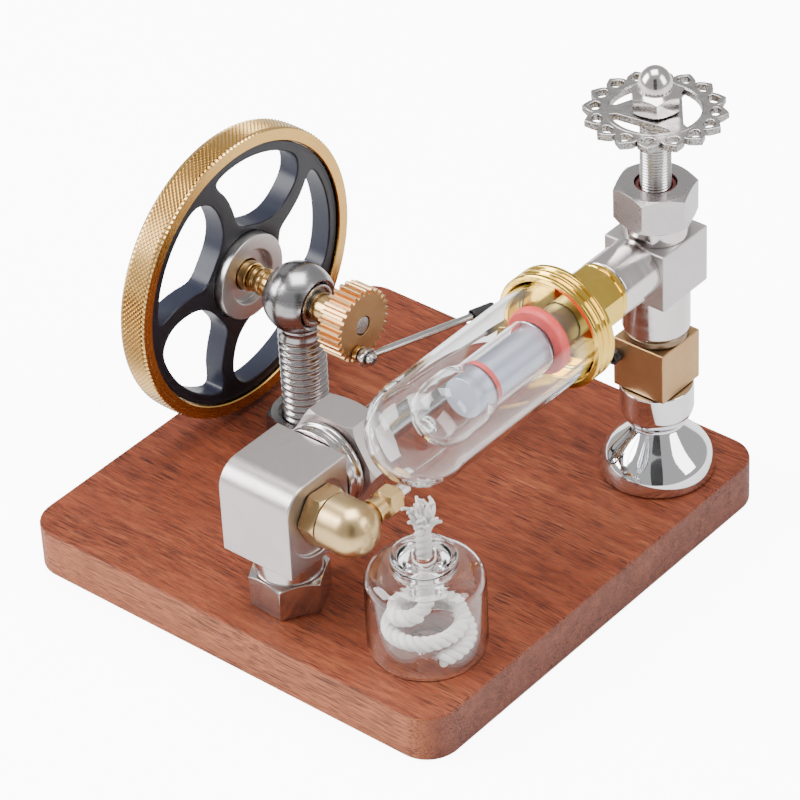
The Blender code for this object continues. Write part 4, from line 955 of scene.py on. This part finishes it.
barrel_steel = metal("barrel_steel", (0.52, 0.51, 0.50), (0.42, 0.41, 0.40), 0.2, 0.1, 100.0, 0.5, 1500.0,
                     0.000005, "Y", AXIS, marks=1300.0)
barrel = turned([(6.0, 12), (6.0, -42.7), (4.5, -42.7), (4.5, 12)], AXIS, "Y", 72, 0.5)
keep(barrel, "cylinder_barrel", "engine_frame", barrel_steel, "steel", "power_cylinder")
piston = turned([(0, 46.0), (1.2, 46.0), (1.2, -2), (4.2, -2), (4.2, -5), (3.9, -5), (3.9, -5.6), (4.2,
                                                                                                   -5.6),
                 (4.2, -14), (0, -14)], AXIS, "Y", 60, 0.2)
keep(piston, "piston_and_tail", "piston", steel, "steel", "power_piston")
crosshead = block_from("piston_crosshead")
combine(crosshead, turned([(0, 48), (1.5, 48), (1.5, 40), (0, 40)], AXIS, "Y", 40, 0), "DIFFERENCE")
ease_edges(crosshead, 0.5)
keep(crosshead, "piston_crosshead_block", "piston", brass, "brass", "piston_crosshead")


# Brass elbow, nozzle and air pipe
# A turned brass elbow screws into the block's side with a hexagon flange and a domed body. A
# hexagon nozzle leaves it, and a thin clear pipe runs under the hot tube to the valve column.
ELBOW = (8.1 * MM, -55.1 * MM, 49.2 * MM)
ELBOW_MIDDLE = 23.65
satin_brass = metal("satin_brass", (0.70, 0.50, 0.25), (0.60, 0.40, 0.18), 0.30, 0.06, 170.0, 0.7, 1800.0,
                    0.000002)
nozzle_brass = metal("nozzle_brass", (0.62, 0.42, 0.19), (0.46, 0.28, 0.11), 0.33, 0.14, 200.0, 0.7, 2200.0)
flange = nut(8.8, -34, [(0, 16.65), (7.9, 16.65), (9.3, 15.7), (9.3, 12.5), (8.3, 11.65), (0, 11.65)],
             ELBOW, "X")
keep(flange, "elbow_hex_flange", "engine_frame", satin_brass, "brass", "elbow_flange")
dome = [(0, ELBOW_MIDDLE + 8)] + arc(0, ELBOW_MIDDLE, 8, 8, range(6, 96, 6))
dome += [(8.0, 17.2), (7.6, 16.95), (0, 16.95)]
elbow = turned(dome, ELBOW, "X", 96, 0, 40)
PIPE_X = ELBOW[0] + ELBOW_MIDDLE * MM
NOZZLE = (PIPE_X, ELBOW[1], ELBOW[2])
combine(elbow, turned([(0, 9), (3.34, 9), (3.34, 4.5), (0, 4.5)], NOZZLE, "Y", 48, 0), "DIFFERENCE")
clean(elbow, 35)
keep(elbow, "elbow_dome", "engine_frame", satin_brass, "brass", "dome_elbow", flat=False)
nozzle = nut(4.6, 10, [(1.2, 19.5), (2.4, 19.5), (3.0, 18.9), (3.0, 17.4), (4.2, 17.2), (4.8, 16.4),
                       (4.8, 13.6),
                       (4.1, 12.8), (3.3, 12.2), (3.3, 9.6), (3.9, 9.2), (3.9, 8.3), (3.04, 8.3), (3.04,
                                                                                                   4.8),
                       (1.2, 4.8)], NOZZLE, "Y", 6, 0.12)
keep(nozzle, "pipe_nozzle", "engine_frame", nozzle_brass, "brass", "nozzle")
silver_tip = metal("tip_metal", (0.78, 0.78, 0.78), (0.66, 0.66, 0.66), 0.3, 0.1, 200.0)
tip = turned([(1.9, 23.0), (2.0, 22.6), (2.0, 19.8), (1.2, 19.8), (1.2, 23.0)], NOZZLE, "Y", 40, 0.2)
keep(tip, "pipe_nozzle_tip", "engine_frame", silver_tip, "aluminium", "nozzle_tip")
FITTING = (47.275 * MM, 0, 56.452 * MM)
fitting = turned([(1.8, 43.45), (1.8, 42.3), (1.5, 42.1), (1.5, 41.6), (1.8, 41.4), (1.8, 40.45), (1.2,
                                                                                                   40.45),
                  (1.2, 43.45)], FITTING, "Y", 40, 0.15)
keep(fitting, "pipe_fitting", "engine_frame", black_plastic, "black_plastic", "tube_fitting")


def glass(name, tint, rough=0.0, ripple=0.00002, scale=60.0):
    """Clear glass or plastic with faint smears and a slightly uneven surface."""
    made, tree, shader = blank(name)
    place = node(tree, "TexCoord").outputs["Object"]
    shader.inputs["Base Color"].default_value = tint + (1,)
    shader.inputs["Transmission Weight"].default_value = 1.0
    shader.inputs["Metallic"].default_value = 0.0
    shader.inputs["IOR"].default_value = 1.47
    smears = spread(tree, noise(tree, place, scale * 3, 3.0), 0.5, 0.8, rough, rough + 0.02)
    tree.links.new(smears, shader.inputs["Roughness"])
    # Thin glass throws only a faint shadow.
    shade = node(tree, "LightPath").outputs["Is Shadow Ray"]
    tree.links.new(spread(tree, shade, 0.0, 1.0, 1.0, 0.12), shader.inputs["Alpha"])
    bump(tree, shader, noise(tree, place, scale, 1.0), ripple)
    return made


pipe_plastic = glass("clear_pipe", (0.96, 0.97, 0.98), 0.03)
start = Vector((PIPE_X, -47.3 * MM, ELBOW[2]))
arrive = Vector((FITTING[0], 39.95 * MM, FITTING[2]))
bend = Vector((PIPE_X, 23.95 * MM, ELBOW[2]))
line = [start, start.lerp(bend, 0.35), start.lerp(bend, 0.7)]
for i in range(25):
    t = i / 24
    ease = t * t * (3 - 2 * t)
    line.append(Vector((bend.x + (arrive.x - bend.x) * ease, bend.y + (arrive.y - bend.y) * t,
                        bend.z + (arrive.z - bend.z) * ease)))
line.append(Vector((FITTING[0], 43.15 * MM, FITTING[2])))
verts, faces, uvs = [], [], []
strand(verts, faces, uvs, line, 0.9 * MM, 20)
pipe = from_strands("air_pipe", verts, faces, uvs, pipe_plastic)
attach(pipe, "engine_frame")
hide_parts("transfer_tube")


# Valve column
# A spun, mirror-chromed trumpet foot carries a cup and a square brass block. Above a narrow dark
# ring stands the nickel valve body, blasted on its flats and bright where it is turned.
VALVE = (54.1 * MM, 52.5 * MM, 0)
BODY_WIDE = 20.5
BODY_TALL = 18.2
chrome = metal("mirror_chrome", (0.80, 0.80, 0.82), (0.74, 0.74, 0.77), 0.05, 0.03, 60.0, 0.4, 900.0)
flare = [(0, 31.5), (7.2, 31.5), (7.2, 31.2), (7.7, 30.4), (8.6, 29.3), (9.9, 27.8), (11.4, 26.3),
         (13.0, 24.7),
         (14.4, 23.2), (15.5, 21.6), (16.3, 19.8), (16.7, 18.0), (16.7, 15.7), (16.3, 15.3), (0, 15.3)]
trumpet = turned(flare, VALVE, "Z", 128, 0.0, 50)
keep(trumpet, "trumpet_foot", "engine_frame", chrome, "chrome", "flared_foot")
cup = turned([(0, 45), (10.4, 45), (10.7, 44.6), (10.7, 37.2), (10.4, 36.0), (9.9, 34.8), (8.9, 33.2),
              (8.0, 32.3),
              (7.7, 31.8), (0, 31.8)], VALVE, "Z", 128, 0.0, 50)
keep(cup, "trumpet_cup", "engine_frame", chrome, "chrome", "foot_cup")

sawn_brass = metal("sawn_brass", (0.50, 0.31, 0.15), (0.40, 0.23, 0.10), 0.42, 0.14, 80.0, 0.6, 3000.0,
                   0.00003)
square = ease_edges(block_from("column_block"), 0.5)
keep(square, "square_brass_block", "engine_frame", sawn_brass, "brass", "column_block")
# A narrow ring under the valve body, coloured a dark brown metal.
seal = turned([(0, 64.2), (9.0, 64.2), (9.0, 62.0), (0, 62.0)], VALVE, "Z", 96, 0.5)
bronze = metal("dark_ring_metal", (0.24, 0.17, 0.11), (0.16, 0.11, 0.07), 0.35, 0.1)
keep(seal, "column_dark_ring", "engine_frame", bronze, "black_plastic", "column_seal")

blasted = metal("blasted_nickel", (0.60, 0.57, 0.57), (0.52, 0.49, 0.49), 0.42, 0.14, 60.0, 0.4, 3800.0,
                0.00006)
bright = metal("bright_nickel", (0.70, 0.66, 0.65), (0.60, 0.56, 0.55), 0.16, 0.08, 60.0, 0.4, 900.0,
               0.000004, "Z", VALVE, marks=700.0)
bright_y = metal("bright_port", (0.74, 0.69, 0.68), (0.62, 0.57, 0.56), 0.17, 0.08, 60.0, 0.4, 900.0,
                 0.000004, "Y", (VALVE[0], 0, 89.5 * MM), marks=700.0)
body = fresh(bpy.ops.mesh.primitive_cube_add, size=BODY_WIDE * MM)
body.data.transform(Matrix.Translation((VALVE[0], VALVE[1], 87.5 * MM))
                    @ Matrix.Diagonal((1, 1, BODY_TALL / BODY_WIDE, 1)))
combine(body, turned([(0, 110), (4.7, 110), (4.7, 82.7), (0, 82.7)], VALVE, "Z", 60, 0), "DIFFERENCE")
ease_edges(body, 0.5)
keep(body, "valve_body_block", "engine_frame", blasted, "nickel", "valve_body")
boss = turned([(0, 78.3), (9.65, 78.3), (9.65, 65.4), (9.1, 64.5), (0, 64.5)], VALVE, "Z", 96, 0.2)
keep(boss, "valve_lower_boss", "engine_frame", bright, "nickel")
throat = turned([(4.7, 101.3), (9.1, 101.3), (9.5, 100.9), (9.5, 96.7), (4.7, 96.7)], VALVE, "Z", 96, 0.2)
keep(throat, "valve_upper_boss", "engine_frame", bright, "nickel")
HOT = (54.1 * MM, 0, 89.5 * MM)
port = turned([(0, 42.2), (9.0, 42.2), (9.0, 28.2), (8.6, 27.75), (0, 27.75)], HOT, "Y", 96, 0.2)
keep(port, "valve_side_port", "engine_frame", bright_y, "nickel")

gland_nickel = metal("gland_nickel", (0.56, 0.53, 0.53), (0.48, 0.45, 0.45), 0.27, 0.14, 80.0, 0.5,
                     2800.0, 0.00001)
gland = nut(12.0, -12, [(6.0, 112.4), (10.2, 112.4), (12.6, 110.9), (12.6, 103.0), (10.9, 101.6),
                        (4.7, 101.6),
                        (4.7, 105.1), (6.0, 105.1)], VALVE, "Z")
keep(gland, "gland_hex_nut", "engine_frame", gland_nickel, "nickel", "gland_nut")
red_packing = plastic("red_packing", (0.16, 0.035, 0.03), 0.6)
packing = turned([(5.7, 111.6), (5.7, 105.4), (4.7, 105.4), (4.7, 111.6)], VALVE, "Z", 60, 0.2)
keep(packing, "stem_packing", "engine_frame", red_packing, "red_rubber", "packing_ring")


# Valve stem, handwheel and acorn nut
# A fine-threaded steel stem rises through the gland. The cast handwheel has scalloped petals
# and a three-cornered centre, in antique silver with painted shade on faces not facing up, held by a domed
# nut.
stem_steel = metal("stem_steel", (0.62, 0.60, 0.59), (0.50, 0.48, 0.47), 0.2, 0.12, 200.0, 0.5, 2500.0)
stem = threaded(4.4, 0.34, 0.9, 85.7, 133.6, VALVE, per_turn=8)
keep(stem, "threaded_stem", "handwheel", stem_steel, "steel", "valve_stem")
spindle = turned([(0, 143.5), (2.5, 143.5), (2.5, 133.2), (0, 133.2)], VALVE, "Z", 40, 0.2)
keep(spindle, "stem_spindle", "handwheel", stem_steel, "steel")


def antique_material():
    made, tree, shader, place, looks = surface(
        "antique_silver", (0.62, 0.60, 0.58), (0.30, 0.28, 0.27), 0.27, 0.2, 420.0, 0.7, 2600.0)
    # Painted shade: every face that does not face up, undersides too, is painted dark, broken up by a
    # speckle of grains.
    side = spread(tree, facing(tree)["Z"], 0.05, 0.45, 1.0, 0.0)
    grains = node(tree, "TexVoronoi", [("Vector", place), ("Scale", 1500.0)]).outputs["Distance"]
    shade_speckle = spread(tree, grains, 0.15, 0.55, 1.0, 0.35)
    colour = mixed(tree, math_node(tree, "MULTIPLY", side, shade_speckle), looks["Colour"], (0.10, 0.09, 0.085, 1))
    tree.links.new(colour, shader.inputs["Base Color"])
    tree.links.new(looks["Roughness"], shader.inputs["Roughness"])
    shader.inputs["Metallic"].default_value = 1.0
    height = math_node(tree, "ADD", math_node(tree, "MULTIPLY", grains, side),
                       math_node(tree, "MULTIPLY", looks["Height"], 0.3))
    bump(tree, shader, height, 0.00012)
    return made


antique = antique_material()
PETALS = 16
PETAL = ((16.9, -0.5), (17.9, -0.42), (18.7, -0.28), (19.5, -0.1), (20.0, 0.0), (19.5, 0.1), (18.7, 0.28),
         (17.9, 0.42))
DROP = ((14.9, 0.0), (15.2, -0.2), (15.9, -0.31), (16.8, -0.31), (17.7, -0.16), (18.4, 0.0), (17.7, 0.16),
        (16.8, 0.31), (15.9, 0.31), (15.2, 0.2))
rim_line, holes = [], []
for i in range(PETALS):
    middle = math.radians(98) + 2 * math.pi * i / PETALS
    petal, drop = [[(r * math.cos(middle + 2 * math.pi / PETALS * part),
                     r * math.sin(middle + 2 * math.pi / PETALS * part)) for r, part in points]
                   for points in (PETAL, DROP)]
    rim_line += petal
    holes.append(drop)
for i in range(3):
    middle = math.radians(38 + 120 * i)
    piece = []
    for k in range(15):
        a = math.radians(-49 + 98 * k / 14)
        piece.append((12.6 * math.cos(middle + a), 12.6 * math.sin(middle + a)))
    for k in range(5):
        s = 8.6 * (1 - k / 2) * 0.92
        piece.append((7.4 * math.cos(middle) - s * math.sin(middle),
                      7.4 * math.sin(middle) + s * math.cos(middle)))
    holes.append(piece)
wheel = plate([rim_line] + holes + [ring_outline(2.8, 32)], 133.9, 136.1, VALVE, "Z", 0.3, False, 40)
keep(wheel, "handwheel_casting", "handwheel", antique, "silver", "handwheel")
band = turned([(13.9, 136.28), (14.3, 135.9), (12.7, 135.9), (13.1, 136.28)], VALVE, "Z", 96, 0.1)
keep(band, "handwheel_band", "handwheel", antique, "silver")
acorn = [(0, 149.1)] + arc(0, 143.1, 4.9, 6.0, [7.5 * i for i in range(1, 13)])
acorn += [(4.9, 142.3), (5.6, 142.0), (7.5, 140.9), (7.5, 137.3), (6.4, 136.6), (2.8, 136.6), (2.8,
                                                                                               143.9),
                                                                                               (0, 143.9)]
acorn_nut = nut(7.2, 10, acorn, VALVE, "Z", 6, 0.12)
keep(acorn_nut, "domed_nut", "handwheel", bright, "nickel", "acorn_nut")


# Hot end
# A clear glass tube closed at one end is held in a gold-plated grooved collar. Inside, a loose
# glass displacer slides on a light metal tube, between a thin red ring and a thick red one.
TUBE_R = 15.0
TUBE_BORE = 13.7
gold = metal("gold_plate", (0.90, 0.62, 0.12), (0.74, 0.45, 0.07), 0.09, 0.05, 120.0, 0.5, 1200.0,
             0.000006, "Y", HOT, marks=800.0)
collar_profile = [(16.6, 10.95), (17.4, 10.5), (17.4, 9.4), (16.5, 8.9), (16.5, 8.1), (17.4, 7.6),
                  (17.4, 6.9),
                  (16.5, 6.4), (16.5, 5.7), (17.4, 5.2), (17.4, 4.3), (17.0, 3.95), (15.6, 3.95), (15.3,
                                                                                                   4.3),
                  (15.3, 9.25), (6.3, 9.25), (6.3, 10.95)]
ring = turned(collar_profile, HOT, "Y", 128, 0.15)
keep(ring, "gold_collar", "engine_frame", gold, "gold", "collar_ring")
faceted = nut(9.6, 22.5, [(6.3, 11.25), (9.0, 11.25), (9.9, 11.9), (9.9, 25.2), (9.0, 25.6), (8.4, 26.0),
                          (9.0, 26.4), (9.0, 27.45), (0, 27.45), (0, 12.55), (6.3, 12.55)], HOT, "Y", 8,
                          0.15)
keep(faceted, "gold_neck", "engine_frame", gold, "gold", "collar_neck")
pale_alu = metal("pale_aluminium", (0.48, 0.51, 0.60), (0.41, 0.44, 0.53), 0.42, 0.1, 60.0, 0.4, 1500.0)
guide = turned([(6.0, 12.25), (6.0, -33.75), (0, -33.75), (0, -32.55), (4.8, -32.55), (4.8, 12.25)],
               HOT, "Y", 72, 0.3)
keep(guide, "guide_tube_metal", "engine_frame", pale_alu, "aluminium", "guide_tube")
red = plastic("red_silicone", (0.50, 0.030, 0.024), 0.45)
thin = turned([(6.75, -25.45), (6.75, -27.05), (6.3, -27.05), (6.3, -25.45)], HOT, "Y", 72, 0.15)
keep(thin, "thin_red_ring", "engine_frame", red, "red_rubber", "slide_ring")
thick = turned([(9.6, 0.7), (10.0, -0.4), (10.0, -1.7), (9.6, -2.8), (6.3, -2.8), (6.3, 0.7)], HOT, "Y",
               72, 0.6)
keep(thick, "thick_red_ring", "engine_frame", red, "red_rubber", "buffer_ring")
clear = glass("clear_glass", (0.985, 0.99, 0.995), 0.0, 0.000008, 40.0)


def dome_line(radius, tip, deep, count):
    """The wall of a rounded end, from the straight side to the tip on the axis."""
    angles = [math.pi / 2 * i / count for i in range(count)]
    return [(radius * math.cos(a), tip + deep * (1 - math.sin(a))) for a in angles] + [(0, tip)]


tube = [(TUBE_R, 8.95)] + dome_line(TUBE_R, -65.55, TUBE_R, 20)
tube += list(reversed(dome_line(TUBE_BORE, -64.25, TUBE_BORE, 20))) + [(TUBE_BORE, 8.95)]
hot_tube = turned(tube, HOT, "Y", 96, 0, 60)
keep(hot_tube, "glass_hot_tube", "engine_frame", clear, "glass", "hot_tube")
outside = [(7.85, -4.85), (7.85, -28.2), (8.0, -29.6), (8.7, -31.6), (9.3, -33.2), (9.5, -34.6)]
outside += dome_line(9.5, -48.85, 7.4, 14)
inside = list(reversed(dome_line(8.7, -48.0, 6.8, 14)))
inside += [(8.7, -34.8), (8.5, -33.6), (7.9, -31.9), (7.3, -29.9), (7.15, -28.4), (7.15, -4.85)]
displacer = turned(outside + inside, HOT, "Y", 72, 0, 60)
keep(displacer, "glass_displacer", "displacer", clear, "glass", "displacer")
pip = turned([(0, -46.1), (2.2, -46.5), (2.6, -47.2), (2.0, -47.9), (0, -48.0)], HOT, "Y", 40, 0, 70)
keep(pip, "displacer_pip", "displacer", clear, "glass")


# Spirit lamp
# A blown glass bottle with a pushed-up floor. A heavy glass stopper sits in its neck and holds
# the wick in a short tube that tapers down inside.
LAMP_AT = (LAMP[0], LAMP[1], 0)
lamp_out = [(9.2, 45.9), (9.2, 44.4), (9.9, 43.9), (11.7, 43.9)]
lamp_out += arc(11.7, 38.9, 5, 5, [11.25 * i for i in range(1, 9)])
lamp_out += [(16.7, 19.0), (16.4, 17.2), (15.6, 15.9), (14.4, 15.3), (8.5, 15.3), (6.6, 15.9), (4.2, 16.9),
             (0, 17.4)]
lamp_in = [(0, 18.2), (4.6, 17.6), (7.2, 16.4), (13.8, 16.1), (15.2, 16.8), (15.9, 18.2)]
lamp_in += arc(11.7, 38.9, 4.2, 4.2, [90 - 11.25 * i for i in range(9)])
lamp_in += [(9.2, 43.1), (8.1, 43.5), (7.9, 44.2), (7.9, 45.9)]
bottle = turned(lamp_out + lamp_in, LAMP_AT, "Z", 96, 0, 60)
keep(bottle, "lamp_glass_bottle", "lamp", clear, "glass", "lamp_bottle")
stopper = turned([(2.9, 48.2), (4.0, 47.7), (5.6, 47.5), (7.2, 47.8), (8.2, 48.2), (9.0, 48.0), (9.25,
                                                                                                 47.2),
                  (9.0, 46.4), (8.4, 46.2), (7.6, 46.2), (7.6, 43.2), (6.2, 41.0), (4.6, 36.4), (4.2, 34.2),
                  (2.9, 34.2)], LAMP_AT, "Z", 96, 0.2, 40)
keep(stopper, "lamp_glass_stopper", "lamp", clear, "glass", "lamp_burner")


# Studio
# A wide pale floor and three large soft lights, with a dark card behind the lens that gives the
# polished metal its dark bands. None of it is part of the engine.
FLOOR_GLOW = 9.0
GLOW_THROUGH_GLASS = 0.6
LIGHT_TALL = 0.9
LIGHT_AIM = Vector((0, 0, 0.05))
SKY = 0.56
bpy.ops.object.select_all(action="DESELECT")
bpy.ops.mesh.primitive_plane_add(size=8, location=(0, 0, -0.0002))
floor = bpy.context.object
floor.name = "studio_floor"
pale, pale_tree, pale_shader = blank("studio_pale")
tone = noise(pale_tree, node(pale_tree, "TexCoord").outputs["Object"], 3.0, 2.0)
pale_tree.links.new(spread(pale_tree, tone, 0.0, 1.0, 0.7, 0.8), pale_shader.inputs["Roughness"])
pale_shader.inputs["Base Color"].default_value = (0.9, 0.9, 0.9, 1)
pale_shader.inputs["Specular IOR Level"].default_value = 0.1
# The lens sees the floor as blown-out white, and a little of that through glass; the metals don't.
path = node(pale_tree, "LightPath").outputs
seen = math_node(pale_tree, "MULTIPLY", path["Is Camera Ray"], FLOOR_GLOW)
through = math_node(pale_tree, "MULTIPLY", path["Is Transmission Ray"], GLOW_THROUGH_GLASS)
pale_shader.inputs["Emission Color"].default_value = (1, 1, 1, 1)
pale_tree.links.new(math_node(pale_tree, "ADD", seen, through), pale_shader.inputs["Emission Strength"])
floor.data.materials.append(pale)


for name, place, wide, power in (("light_left", (-0.95, -0.75, 0.75), 0.8, 27),
                                 ("light_right", (1.1, 0.35, 0.7), 0.6, 11),
                                 ("light_above", (-0.1, 0.1, 1.4), 0.9, 24)):
    bpy.ops.object.light_add(type="AREA", location=place)
    light = bpy.context.object
    light.name = name
    light.data.shape = "RECTANGLE"
    light.data.size = wide
    light.data.size_y = LIGHT_TALL
    light.data.energy = power
    light.rotation_euler = (Vector(place) - LIGHT_AIM).to_track_quat("Z", "Y").to_euler()
card_at = Vector((0.62, -0.72, 0.45))
card = fresh(bpy.ops.mesh.primitive_plane_add, size=1)
card.name = "studio_dark_card"
aim = (-card_at).to_track_quat("-Z", "Y").to_matrix().to_4x4()
card.data.transform(Matrix.Translation(card_at) @ aim @ Matrix.Diagonal((0.42, 1.1, 1, 1)))
dark, _, dark_shader = blank("studio_dark")
dark_shader.inputs["Base Color"].default_value = (0.01, 0.01, 0.01, 1)
card.data.materials.append(dark)
card.visible_camera = False
card.visible_diffuse = False
card.visible_shadow = False
world = bpy.data.worlds.new("studio_world")
world.use_nodes = True
world.node_tree.nodes["Background"].inputs["Color"].default_value = (1, 1, 1, 1)
world.node_tree.nodes["Background"].inputs["Strength"].default_value = SKY
bpy.context.scene.world = world
